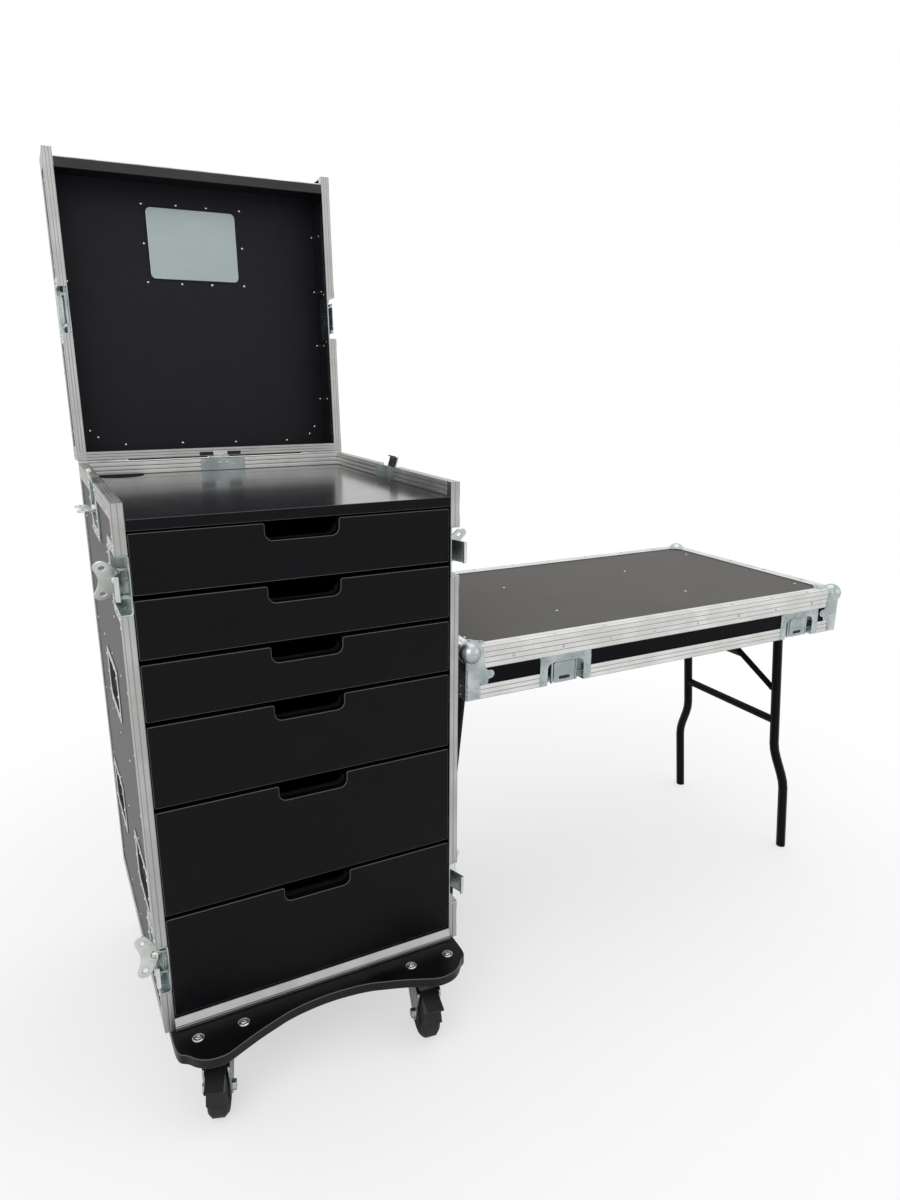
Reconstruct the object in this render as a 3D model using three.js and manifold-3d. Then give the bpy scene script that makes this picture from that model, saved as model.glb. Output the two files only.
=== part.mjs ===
// Road case with drawers: a wheeled workstation case with six drawers under a
// worktop, a hinged lid, and a front cover that stands beside it as a folding
// table. Millimetres, +Z up, +X to the right of someone facing the drawers.
// The drawers open towards -Y and the floor is at Z = 0.

import * as THREE from 'three';
import { mergeVertices } from 'three/addons/utils/BufferGeometryUtils.js';
import Module from 'manifold-3d';

const wasm = await Module();
wasm.setup();

// Case, lid and cover, measured over their metal edges
const CASE_WIDTH = 600;
const CASE_DEPTH = 622;
const CASE_HEIGHT = 974;
const LID_DEPTH = 110;
const LID_OPEN_DEGREES = 93;
const LID_FRONT_SETBACK = 15;
const COVER_DEPTH = 110;
const COVER_LENGTH = CASE_HEIGHT + LID_DEPTH;
const PANEL = 9.5;
const FLOOR_PANEL = 18;
const WORKTOP = 18;
const WORKTOP_DROP = 27;
const FIT = 0.3;
const OVERRUN = 20;
const WELD = 0.01;

// Edge profiles
const SKIN = 1.8;
const LEG = 30;
const COVER_TOP_LEG = 45;
const RIM_SKIN = 2.2;
const RIM_WIDTH = 18;
const RIM_LIP = 18;
const RIM_GAP = 0.6;
const SILL_HEIGHT = 25;
const EDGE_CHAMFER = 1.5;

// Cable cut-out in the worktop, a half-moon against the back wall
const CABLE_CUT_RADIUS = 50;
const CABLE_CUT_FROM_SIDE = 78;
const CABLE_CUT_DEPTH = 70;

// Dolly board and casters
const BOARD = 20;
const BOARD_INSET = 8;
const BOARD_SHOULDER = 31;
const BOARD_REACH = 88;
const BOARD_MIDDLE_REACH = 28;
const CASTER_HEIGHT = 140;
const CASTER_INSET = 93;
const CASTER_FRONT_OVERHANG = 8;
const CASTER_BACK_INSET = 62;
const CASTER_REAR_INSET = 116;
const CASTER_TURN_DEGREES = { front_left: 18, front_right: 8, rear_left: 14, rear_right: 10 };
const CASTER_PLATE_WIDTH = 105;
const CASTER_PLATE_LENGTH = 85;
const CASTER_PLATE = 3;
const SWIVEL_RADIUS = 24;
const SWIVEL_HEIGHT = 5;
const WHEEL_DIAMETER = 100;
const WHEEL_WIDTH = 36;
const WHEEL_OFFSET = 45;
const WHEEL_CORNER = 7;
const HUB_RADIUS = 19;
const HUB_WIDTH = 40;
const WEB_WIDTH = 22;
const RIM_RADIUS = 36;
const AXLE_RADIUS = 6;
const AXLE_NUT_RADIUS = 10;
const AXLE_NUT = 6;
const FORK_PLATE = 3.5;
const FORK_CROWN = 4;
const FORK_CROWN_FRONT = 26;
const FORK_CROWN_BACK = 34;
const FORK_EYE = 14;
const HUB_GAP = 1;
const PEDAL_PIN_RADIUS = 3.5;
const PEDAL_EYE = 7;
const PEDAL_WIDTH = 34;
const PEDAL_THICKNESS = 4;
const PEDAL_CLEARANCE = 8;
const PEDAL_LEAN_DEGREES = 20;
const PEDAL_TREAD = 18;
const PEDAL_SPAN_DEGREES = [85, 15];
const PEDAL_NECK_DEGREES = 38;
const PEDAL_EYE_DEGREES = [60, 120];
const FORK_EYE_DEGREES = [205, 360];

// Drawers, from the top one down
const FRONT_HEIGHT_SHARES = [100, 100, 100, 150, 203, 203];
const RUNNER_LIFTS = [12, 27, 27, 27, 85, 85];
const FRONT_GAP = 8.4;
const FRONT_TOP_GAP = 4;
const FRONT_SILL_GAP = 2;
const FRONT_SIDE_GAP = 20;
const FRONT_THICKNESS = 18;
const FRONT_RECESS = 2;
const FINGER_WIDTH = 130;
const FINGER_DEPTH = 30;
const FINGER_RADIUS = 14;
const BOX_SIDE_GAP = 26;
const BOX_BACK_GAP = 38.1;
const BOX_WALL = 12;
const BOX_BOTTOM = 8;
const BOX_BOTTOM_GAP = 10;
const BOX_TOP_GAP = 14;
const RUNNER_HEIGHT = 45;
const RUNNER_SHEET = 1.5;
const RUNNER_START = 110;
const RUNNER_FACE_GAP = 2;
const RUNNER_MEMBER = 6.4;

// Latch dishes, butterfly wings, hooks and keepers
const SHEET = 1.5;
const DISH_DEPTH = 16;
const DISH_FLANGE = 131;
const DISH_CAVITY = 93;
const DISH_LENGTH = 106;
const CAVITY_LENGTH = 87;
const CAVITY_CORNER = 14;
const FLANGE_CORNER = 10;
const KEEPER_LENGTH = 66;
const KEEPER_CAVITY_LENGTH = 50;
const LOWER_LATCH_RISE = 133.5;
const UPPER_LATCH_DROP = 130.5;
const LATCH_REST_DEGREES = { lower: 0, upper: 32, lid: 0 };
const SPINDLE_PLACE = 52;
const SPINDLE_RADIUS = 5;
const SPINDLE_HEAD_RADIUS = 14;
const SPINDLE_HEAD = 3;
const WING_SPAN = 88;
const WING_ROOT_SPAN = 46;
const WING_REACH = 36;
const WING_THICKNESS = 2.5;
const WING_CORNER = 7;
const WING_HOLE_SPACING = 58;
const WING_HOLE_RADIUS = 5;
const WING_NOTCH_RADIUS = 7;
const HOOK_TILT_DEGREES = 18;
const HOOK_WIDTH = 40;
const HOOK_THICKNESS = 2.5;
const HOOK_REACH = 20;
const HOOK_PIVOT = 30;
const HOOK_PIVOT_RADIUS = 3.5;
const HOOK_LEVEL = 9;
const HOOK_LIP = 6;
const HOOK_EAR = 3;
const CATCH_THICKNESS = 3;
const CATCH_HEIGHT = 5;

// Recessed sprung handles
const HANDLE_PLACES = [[311, 575], [121, 257], [471, 257]];
const HANDLE_LENGTH = 178;
const HANDLE_HEIGHT = 110;
const HANDLE_CAVITY_LENGTH = 142;
const HANDLE_CAVITY_HEIGHT = 84;
const HANDLE_DEPTH = 17;
const BAIL_SPAN = 104;
const BAIL_DROP = 32;
const BAIL_BEND = 14;
const BAIL_RADIUS = 3.5;
const BAIL_PIVOT_FROM_TOP = 16;
const GRIP_RADIUS = 6.5;
const GRIP_LENGTH = 72;
const EAR_WIDTH = 5;

// Lid hinges, stop hinge and label dish
const HINGE_LENGTH = 100;
const HINGE_RADIUS = 4;
const HINGE_LEAF = 22;
const STOP_HINGE_LENGTH = 46;
const LABEL_DISH_LENGTH = 196;
const LABEL_DISH_HEIGHT = 150;
const LABEL_DISH_DEPTH = 5;
const LABEL_DISH_FROM_HINGE = 470;
const LABEL_DISH_CORNER = 10;

// Cover as a table, its leg frames and their folding stays
const TABLE_HEIGHT = 796.6;
const TABLE_GAP = 31;
const TABLE_SETBACK = 21;
const BALL_RADIUS = 24;
const BALL_DEPTH = 6;
const TUBE = 25;
const LEG_LEAN_DEGREES = 6;
const LEG_INSET = 59;
const LEG_HALF_SPAN = 173;
const FOOT_HALF_SPAN = 210;
const LEG_BEND_TOP = 315;
const LEG_BEND_FOOT = 188;
const LEG_FOLD_GAP = 1;
const LOWER_FRAME_DEPTH = 96.6;
const CROSS_BAR = 22;
const CROSS_BAR_LEVEL = 386;
const BRACKET_THICKNESS = 18;
const BRACKET_WIDTH = 34;
const BRACKET_SPAN = 220;
const STAY_FOOT_LEVEL = 483;
const STAY_LUG_INSET = 97;
const STAY_LUG_DEPTH = 96.6;
const STAY_LUG_WIDTH = 24;
const STAY_UPPER_SHARE = 68 / 248;
const STAY_WIDTH = 16;
const STAY_THICKNESS = 5;
const STAY_LINK_THICKNESS = 12;
const STAY_PIN_RADIUS = 4;
const STAY_EYE = 9;
const STAY_PIN_LENGTH = 14;
const STAY_PLATE_SHARE = 0.5;

// Facet counts
const ARC_STEPS = 2;
const EYE_SIDES = 6;
const ROUND_SIDES = 12;
const TUBE_SIDES = 8;
const WHEEL_SIDES = 18;
const NUT_SIDES = 6;
const LEG_STEPS = 6;
const BOARD_STEPS = 24;

// Levels and faces worked out from the sizes above
const HALF_WIDTH = CASE_WIDTH / 2;
const CASE_BASE = CASTER_HEIGHT + BOARD;
const CASE_TOP = CASE_BASE + CASE_HEIGHT;
const WALL_OUT = HALF_WIDTH - SKIN - FIT;
const WALL_IN = WALL_OUT - PANEL;
const BACK_OUT = CASE_DEPTH - SKIN - FIT;
const BACK_IN = BACK_OUT - PANEL;
const FRONT_IN = RIM_SKIN + FIT;
const FLOOR_LOW = CASE_BASE + SKIN + FIT;
const WORKTOP_TOP = CASE_TOP - WORKTOP_DROP;
const WORKTOP_LOW = WORKTOP_TOP - WORKTOP;
const BOX_HALF = HALF_WIDTH - BOX_SIDE_GAP;
const BOX_FRONT = FRONT_RECESS + FRONT_THICKNESS + FIT;
const BOX_BACK = BACK_IN - BOX_BACK_GAP;
const UPPER_LATCH_RISE = CASE_HEIGHT - UPPER_LATCH_DROP;
const LID_HINGE_Y = CASE_DEPTH + HINGE_RADIUS;
const LID_HINGE_Z = CASE_TOP + RIM_GAP / 2;
const LID_BASE = CASE_TOP + RIM_GAP;
const LID_TOP = LID_BASE + LID_DEPTH;
const LID_LATCH_PLACE = CASE_DEPTH / 2;
const TABLE_RIGHT = COVER_LENGTH / 2;
const TABLE_LEFT = -TABLE_RIGHT;
const TABLE_BACK = CASE_WIDTH / 2;
const TABLE_FRONT = -TABLE_BACK;
const TABLE_RIM = TABLE_HEIGHT - COVER_DEPTH;
const TRAY_TOP = TABLE_HEIGHT - SKIN - FIT;
const TRAY_UNDERSIDE = TRAY_TOP - PANEL;

const materials = {
  board: { color: 0x17181a, roughness: 0.55, metalness: 0 },
  worktop: { color: 0x2a2c2f, roughness: 0.25, metalness: 0.2 },
  film_board: { color: 0x121213, roughness: 0.5, metalness: 0 },
  front: { color: 0x0b0b0c, roughness: 0.22, metalness: 0 },
  aluminium: { color: 0xb9bcc0, roughness: 0.35, metalness: 1 },
  zinc: { color: 0x9a9da0, roughness: 0.4, metalness: 1 },
  tyre: { color: 0x1a1a1b, roughness: 0.75, metalness: 0 },
  black_steel: { color: 0x0f0f10, roughness: 0.4, metalness: 0.2 },
};

// Points of outlines

function arc(u, v, radius, fromDegrees, toDegrees, steps = ARC_STEPS) {
  const points = [];
  for (let i = 0; i <= steps; i += 1) {
    const angle = THREE.MathUtils.degToRad(fromDegrees + ((toDegrees - fromDegrees) * i) / steps);
    points.push([u + radius * Math.cos(angle), v + radius * Math.sin(angle)]);
  }
  return points;
}

function circle(u, v, radius, sides = ROUND_SIDES) {
  return arc(u, v, radius, 0, 360, sides).slice(0, sides);
}

// The radius of a faceted hole in which a pin of the given radius turns freely
function clearRadius(radius, sides) {
  return (radius + FIT) / Math.cos(Math.PI / sides);
}

function rectangle(u0, u1, v0, v1) {
  return [[u0, v0], [u1, v0], [u1, v1], [u0, v1]];
}

// A rectangle with its corners at v1 rounded, and those at v0 too if asked
function roundedRectangle(u0, u1, v0, v1, radius, allCorners = true) {
  const low = allCorners
    ? [...arc(u0 + radius, v0 + radius, radius, 180, 270), ...arc(u1 - radius, v0 + radius, radius, 270, 360)]
    : [[u0, v0], [u1, v0]];
  const right = arc(u1 - radius, v1 - radius, radius, 0, 90);
  const left = arc(u0 + radius, v1 - radius, radius, 90, 180);
  return [...low, ...right, ...left];
}

// Solids

const AXIS_BASES = {
  x: [new THREE.Vector3(0, 1, 0), new THREE.Vector3(0, 0, 1), new THREE.Vector3(1, 0, 0)],
  y: [new THREE.Vector3(1, 0, 0), new THREE.Vector3(0, 0, 1), new THREE.Vector3(0, -1, 0)],
  z: [new THREE.Vector3(1, 0, 0), new THREE.Vector3(0, 1, 0), new THREE.Vector3(0, 0, 1)],
};

// An outline pushed along an axis. Its two coordinates are the other two axes in X, Y, Z order.
function extrude(axis, outline, from, to, holes = []) {
  const toVector = ([u, v]) => new THREE.Vector2(u, v);
  const shape = new THREE.Shape(outline.map(toVector));
  for (const hole of holes) shape.holes.push(new THREE.Path(hole.map(toVector)));
  const geometry = new THREE.ExtrudeGeometry(shape, { depth: to - from, steps: 1, bevelEnabled: false });
  geometry.translate(0, 0, axis === 'y' ? -to : from);
  geometry.applyMatrix4(new THREE.Matrix4().makeBasis(...AXIS_BASES[axis]));
  return geometry;
}

function block(x0, x1, y0, y1, z0, z1) {
  return extrude('z', rectangle(Math.min(x0, x1), Math.max(x0, x1), y0, y1), z0, z1);
}

function cylinder(axis, u, v, radius, from, to, sides = ROUND_SIDES) {
  return extrude(axis, circle(u, v, radius, sides), from, to);
}

function bar(start, end, radius, sides = TUBE_SIDES) {
  return sweep(new THREE.LineCurve3(start, end), radius, 1, sides);
}

function sweep(curve, radius, steps, sides = TUBE_SIDES) {
  const shape = new THREE.Shape(circle(0, 0, radius, sides).map(([u, v]) => new THREE.Vector2(u, v)));
  return new THREE.ExtrudeGeometry(shape, { extrudePath: curve, steps, bevelEnabled: false });
}

// A curve through given points that spends an equal share of itself on each stretch
class Route extends THREE.Curve {
  constructor(points) {
    super();
    this.points = points;
  }

  getPoint(t, target = new THREE.Vector3()) {
    const step = t * (this.points.length - 1);
    const i = Math.min(Math.floor(step), this.points.length - 2);
    return target.lerpVectors(this.points[i], this.points[i + 1], step - i);
  }

  getPointAt(t, target) {
    return this.getPoint(t, target);
  }

  getTangentAt(t, target) {
    return this.getTangent(t, target);
  }
}

function toManifold(geometry) {
  const bare = geometry.clone();
  bare.deleteAttribute('normal');
  bare.deleteAttribute('uv');
  const welded = mergeVertices(bare);
  return new wasm.Manifold(new wasm.Mesh({
    numProp: 3,
    vertProperties: new Float32Array(welded.attributes.position.array),
    triVerts: new Uint32Array(welded.index.array),
  }));
}

// Corners that coincident faces leave within a weld of each other are merged
function toGeometry(manifold) {
  const mesh = manifold.asOriginal().simplify(WELD).getMesh();
  const geometry = new THREE.BufferGeometry();
  geometry.setAttribute('position', new THREE.BufferAttribute(new Float32Array(mesh.vertProperties), 3));
  geometry.setIndex(new THREE.BufferAttribute(new Uint32Array(mesh.triVerts), 1));
  return geometry;
}

function join(...pieces) {
  return toGeometry(pieces.map(toManifold).reduce((whole, piece) => whole.add(piece)));
}

function cut(whole, ...tools) {
  return toGeometry(tools.map(toManifold).reduce((rest, tool) => rest.subtract(tool), toManifold(whole)));
}

// A copy of a geometry moved to a place where its Y runs along v and its Z along w
function placed(geometry, origin, v, w) {
  const u = new THREE.Vector3().crossVectors(v, w);
  const matrix = new THREE.Matrix4().makeBasis(u, v, w).setPosition(origin);
  return geometry.clone().applyMatrix4(matrix);
}

function turned(geometry, axis, degrees) {
  const copy = geometry.clone();
  const turn = new THREE.Matrix4().makeRotationAxis(axis, THREE.MathUtils.degToRad(degrees));
  return copy.applyMatrix4(turn);
}

function moved(geometry, x, y, z) {
  return geometry.clone().translate(x, y, z);
}

function mirrored(geometry) {
  const copy = geometry.clone().applyMatrix4(new THREE.Matrix4().makeScale(-1, 1, 1));
  const index = copy.index ?? new THREE.BufferAttribute(
    Uint32Array.from({ length: copy.attributes.position.count }, (_, i) => i), 1);
  const flipped = new Uint32Array(index.array);
  for (let i = 0; i < flipped.length; i += 3) {
    flipped[i] = index.array[i + 1];
    flipped[i + 1] = index.array[i];
  }
  copy.setIndex(new THREE.BufferAttribute(flipped, 1));
  return copy;
}

const bothSides = (geometry) => [mirrored(geometry), geometry];

// Edge profiles. The outer corner is at 0, 0.

const angleProfile = (legU, legV) => [
  [EDGE_CHAMFER, 0],
  [legU, 0],
  [legU, SKIN],
  [SKIN, SKIN],
  [SKIN, legV],
  [0, legV],
  [0, EDGE_CHAMFER],
];

// The rim profile wraps a panel's edge: an outer leg along v, a web along u and an inner lip
const rimProfile = (outerLeg) => [
  [EDGE_CHAMFER, 0],
  [RIM_WIDTH, 0],
  [RIM_WIDTH, RIM_LIP],
  [RIM_WIDTH - SKIN, RIM_LIP],
  [RIM_WIDTH - SKIN, RIM_SKIN],
  [SKIN, RIM_SKIN],
  [SKIN, outerLeg],
  [0, outerLeg],
  [0, EDGE_CHAMFER],
];

// A profile laid on an edge of a box: u and v run inwards from the edge by the given signs
function edge(axis, profile, cornerU, signU, cornerV, signV, from, to) {
  return extrude(axis, profile.map(([u, v]) => [cornerU + signU * u, cornerV + signV * v]), from, to);
}

// Latch hardware, in a frame with X along the edge, Y away from it and Z outwards

function dishShell(length, cavityLength) {
  const half = DISH_CAVITY / 2;
  return join(
    extrude('z', rectangle(-DISH_FLANGE / 2, DISH_FLANGE / 2, 0, length), -SKIN, 0),
    extrude('z', rectangle(-half - SHEET, half + SHEET, 0, cavityLength + SHEET), -DISH_DEPTH - SHEET, 0),
  );
}

function dishCavity(cavityLength) {
  const half = DISH_CAVITY / 2;
  const outline = roundedRectangle(-half, half, -OVERRUN, cavityLength, CAVITY_CORNER, false);
  return extrude('z', outline, -DISH_DEPTH, OVERRUN);
}

// The room that a dish needs in the panel under it
function dishRoom(cavityLength) {
  const wall = SHEET + FIT;
  const half = DISH_CAVITY / 2 + wall;
  return extrude('z', rectangle(-half, half, -OVERRUN, cavityLength + wall), -DISH_DEPTH - wall, OVERRUN);
}

function hookEars() {
  const inner = HOOK_WIDTH / 2 + FIT;
  const hole = circle(HOOK_PIVOT, -HOOK_LEVEL, clearRadius(HOOK_PIVOT_RADIUS, EYE_SIDES), EYE_SIDES);
  const ear = extrude('x', [
    [HOOK_PIVOT - HOOK_EAR - HOOK_PIVOT_RADIUS, -DISH_DEPTH - SHEET / 2],
    [HOOK_PIVOT + HOOK_EAR + HOOK_PIVOT_RADIUS, -DISH_DEPTH - SHEET / 2],
    ...arc(HOOK_PIVOT, -HOOK_LEVEL, HOOK_PIVOT_RADIUS + HOOK_EAR, 0, 180),
  ], inner, inner + HOOK_EAR, [hole]);
  return bothSides(ear);
}

function hook() {
  const pivotReach = HOOK_WIDTH / 2 + FIT + HOOK_EAR;
  const half = HOOK_WIDTH / 2;
  const low = -HOOK_LEVEL - HOOK_THICKNESS / 2;
  const high = low + HOOK_THICKNESS;
  const lipLow = low - HOOK_LIP + HOOK_THICKNESS / 2;
  const plate = extrude('x', rectangle(-HOOK_REACH, HOOK_PIVOT, low, high), -half, half);
  const lip = extrude('x', rectangle(-HOOK_REACH, -HOOK_REACH + HOOK_THICKNESS, lipLow, high), -half, half);
  const barrel = cylinder('x', HOOK_PIVOT, -HOOK_LEVEL, HOOK_PIVOT_RADIUS, -pivotReach, pivotReach, EYE_SIDES);
  const whole = moved(join(plate, lip, barrel), 0, -HOOK_PIVOT, HOOK_LEVEL);
  return moved(turned(whole, new THREE.Vector3(1, 0, 0), -HOOK_TILT_DEGREES), 0, HOOK_PIVOT, -HOOK_LEVEL);
}

// The wing stands on the spindle head, its length along the local X at zero turn
function wing(restDegrees) {
  const headTop = -SKIN;
  const headLow = headTop - SPINDLE_HEAD;
  const top = headTop + WING_REACH;
  const half = WING_SPAN / 2;
  const outline = [
    ...arc(0, headTop, WING_NOTCH_RADIUS, 180, 0),
    [WING_ROOT_SPAN / 2, headTop],
    [half, (headTop + top) / 2],
    ...arc(half - WING_CORNER, top - WING_CORNER, WING_CORNER, 0, 90),
    ...arc(-half + WING_CORNER, top - WING_CORNER, WING_CORNER, 90, 180),
    [-half, (headTop + top) / 2],
    [-WING_ROOT_SPAN / 2, headTop],
  ];
  const holeLevel = (headTop + top) / 2 + WING_HOLE_RADIUS / 2;
  const holes = [-1, 1].map((side) =>
    circle((side * WING_HOLE_SPACING) / 2, holeLevel, WING_HOLE_RADIUS, EYE_SIDES));
  const plate = extrude('y', outline, -WING_THICKNESS / 2, WING_THICKNESS / 2, holes);
  const headHigh = headTop + WING_THICKNESS / 2;
  const head = cylinder('z', 0, 0, SPINDLE_HEAD_RADIUS, headLow, headHigh, TUBE_SIDES + 2);
  const spindleHigh = headLow + SPINDLE_HEAD / 2;
  const spindle = cylinder('z', 0, 0, SPINDLE_RADIUS, -DISH_DEPTH + FIT, spindleHigh, TUBE_SIDES);
  const whole = turned(join(plate, head, spindle), new THREE.Vector3(0, 0, 1), restDegrees);
  return moved(whole, 0, SPINDLE_PLACE, 0);
}

function catchBar() {
  const half = DISH_CAVITY / 2 + SHEET / 2;
  const start = HOOK_REACH - HOOK_THICKNESS - RIM_GAP - FIT - CATCH_THICKNESS;
  const low = -HOOK_LEVEL - HOOK_THICKNESS / 2 - FIT;
  return extrude('x', rectangle(start, start + CATCH_THICKNESS, low - CATCH_HEIGHT, low), -half, half);
}

const UP = new THREE.Vector3(0, 0, 1);
const DOWN = new THREE.Vector3(0, 0, -1);
const LEFT = new THREE.Vector3(-1, 0, 0);
const RIGHT = new THREE.Vector3(1, 0, 0);
const FRONT = new THREE.Vector3(0, -1, 0);
const BACK = new THREE.Vector3(0, 1, 0);

// Where each of the six latches sits, and its wing's turn at rest
const latchPlaces = [];
for (const [side, out] of [['left', LEFT], ['right', RIGHT]]) {
  for (const [level, height] of [['lower', LOWER_LATCH_RISE], ['upper', UPPER_LATCH_RISE]]) {
    latchPlaces.push({
      name: `${level}_${side}`,
      origin: new THREE.Vector3(out.x * HALF_WIDTH, 0, CASE_BASE + height),
      inward: BACK,
      out,
      turn: LATCH_REST_DEGREES[level] * out.x,
    });
  }
  latchPlaces.push({
    name: `lid_${side}`,
    origin: new THREE.Vector3(out.x * HALF_WIDTH, LID_LATCH_PLACE, CASE_TOP),
    inward: DOWN,
    out,
    turn: LATCH_REST_DEGREES.lid * out.x,
  });
}

const atLatches = (makeGeometry) =>
  latchPlaces.map((place) => placed(makeGeometry(place), place.origin, place.inward, place.out));

// Lid hinges: knuckles of the case and the lid take turns along the hinge line

const hingeSpans = [
  [-HALF_WIDTH, HINGE_LENGTH],
  [-STOP_HINGE_LENGTH / 2, STOP_HINGE_LENGTH],
  [HALF_WIDTH - HINGE_LENGTH, HINGE_LENGTH],
];

// Part 0 and 2 of each hinge are the case's, part 1 is the lid's
function knuckles(parts, radius, gap) {
  return hingeSpans.flatMap(([start, length]) => parts.map((part) => {
    const third = length / 3;
    const from = start + part * third + gap;
    const to = start + (part + 1) * third - gap;
    return cylinder('x', LID_HINGE_Y, LID_HINGE_Z, radius, from, to, TUBE_SIDES);
  }));
}

function hingeLeaves(z0, z1) {
  return hingeSpans.map(([start, length]) =>
    block(start, start + length, CASE_DEPTH - SKIN / 2, CASE_DEPTH + SKIN, z0, z1));
}

const caseKnuckles = () => knuckles([0, 2], HINGE_RADIUS, FIT);
const lidKnuckles = () => knuckles([1], HINGE_RADIUS, FIT);
const roomForCaseKnuckles = () => knuckles([0, 2], HINGE_RADIUS + FIT * 2, 0);
const roomForLidKnuckles = () => knuckles([1], HINGE_RADIUS + FIT * 2, 0);

// Case body

// The case's panels, each grown by a clearance when it is used to clear room in the edging
const caseWallPanel = (grow) => block(WALL_IN - grow, WALL_OUT + grow, FRONT_IN - grow, BACK_OUT + grow,
  FLOOR_LOW - grow, CASE_TOP - FRONT_IN + grow);
const backPanel = (grow) => block(-WALL_IN + FIT - grow, WALL_IN - FIT + grow,
  BACK_IN - grow, BACK_OUT + grow, FLOOR_LOW - grow, CASE_TOP - FRONT_IN + grow);
const floorPanel = (grow) => block(-WALL_IN + FIT - grow, WALL_IN - FIT + grow,
  FRONT_IN - grow, BACK_IN - FIT + grow, FLOOR_LOW - grow, FLOOR_LOW + FLOOR_PANEL + grow);

function caseEdging() {
  const high = [CASE_BASE, CASE_TOP];
  const deep = [0, CASE_DEPTH];
  const wide = [-HALF_WIDTH, HALF_WIDTH];
  const sides = [];
  for (const sign of [-1, 1]) {
    const x = sign * HALF_WIDTH;
    sides.push(edge('z', rimProfile(LEG), x, -sign, 0, 1, ...high));
    sides.push(edge('z', angleProfile(LEG, LEG), x, -sign, CASE_DEPTH, -1, ...high));
    sides.push(edge('y', rimProfile(LEG), x, -sign, CASE_TOP, -1, ...deep));
    sides.push(edge('y', angleProfile(LEG, LEG), x, -sign, CASE_BASE, 1, ...deep));
  }
  const back = edge('x', rimProfile(LEG), CASE_DEPTH, -1, CASE_TOP, -1, ...wide);
  const backFoot = edge('x', angleProfile(LEG, LEG), CASE_DEPTH, -1, CASE_BASE, 1, ...wide);
  const sill = extrude('x', [
    [LEG, CASE_BASE],
    [0, CASE_BASE],
    [0, CASE_BASE + SILL_HEIGHT],
    [RIM_LIP, CASE_BASE + SILL_HEIGHT],
    [RIM_LIP, CASE_BASE + SILL_HEIGHT - SKIN],
    [RIM_SKIN, CASE_BASE + SILL_HEIGHT - SKIN],
    [RIM_SKIN, CASE_BASE + SKIN],
    [LEG, CASE_BASE + SKIN],
  ], ...wide);
  const panels = [...bothSides(caseWallPanel(FIT)), backPanel(FIT), floorPanel(FIT)];
  const rooms = atLatches(() => dishRoom(CAVITY_LENGTH - FIT));
  const frame = cut(join(...sides, back, backFoot, sill), ...panels, ...rooms);
  const dish = () => cut(dishShell(DISH_LENGTH, CAVITY_LENGTH), dishCavity(CAVITY_LENGTH));
  const hardware = [
    ...atLatches(() => join(dish(), ...hookEars())),
    ...hingeLeaves(CASE_TOP - HINGE_LEAF, CASE_TOP),
    ...caseKnuckles(),
  ];
  return cut(join(frame, ...hardware), ...atLatches(() => dishCavityMouth()), ...roomForLidKnuckles());
}

// Clears the edge profile out of the mouth of a dish
function dishCavityMouth() {
  const half = DISH_CAVITY / 2;
  return extrude('z', rectangle(-half, half, -OVERRUN, HOOK_PIVOT / 2), -DISH_DEPTH, OVERRUN);
}

// The fronts share the height between the sill and the worktop
const frontsTop = WORKTOP_LOW - FRONT_TOP_GAP;
const frontsLow = CASE_BASE + SILL_HEIGHT + FRONT_SILL_GAP;
const frontsHeight = frontsTop - frontsLow - FRONT_GAP * (FRONT_HEIGHT_SHARES.length - 1);
const frontsTotal = FRONT_HEIGHT_SHARES.reduce((sum, share) => sum + share);
const runnerLevels = [];
const frontLevels = [];
FRONT_HEIGHT_SHARES.reduce((top, share, i) => {
  const low = top - (frontsHeight * share) / frontsTotal;
  frontLevels.push([low, top]);
  runnerLevels.push(low + RUNNER_LIFTS[i]);
  return low - FRONT_GAP;
}, frontsTop);

function fixedRunner(level) {
  const face = BOX_HALF + RUNNER_FACE_GAP;
  const top = level + RUNNER_HEIGHT;
  return extrude('y', [
    [WALL_IN + SHEET, level],
    [face, level],
    [face, level + RUNNER_SHEET],
    [WALL_IN - RUNNER_SHEET, level + RUNNER_SHEET],
    [WALL_IN - RUNNER_SHEET, top - RUNNER_SHEET],
    [face, top - RUNNER_SHEET],
    [face, top],
    [WALL_IN + SHEET, top],
  ], RUNNER_START, BOX_BACK);
}

function handleFrame() {
  return HANDLE_PLACES.map(([y, z]) => new THREE.Vector3(WALL_OUT + SHEET, y, CASE_BASE + z));
}

// A handle dish, in a frame with X along the case, Y up and Z outwards
function handleDish() {
  const flangeLong = HANDLE_LENGTH / 2;
  const flangeTall = HANDLE_HEIGHT / 2;
  const long = HANDLE_CAVITY_LENGTH / 2 + SHEET;
  const tall = HANDLE_CAVITY_HEIGHT / 2 + SHEET;
  const rim = roundedRectangle(-flangeLong, flangeLong, -flangeTall, flangeTall, FLANGE_CORNER);
  const flange = extrude('z', rim, -SHEET, 0);
  const body = extrude('z', rectangle(-long, long, -tall, tall), -HANDLE_DEPTH - SHEET, 0);
  return join(flange, body);
}

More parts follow.
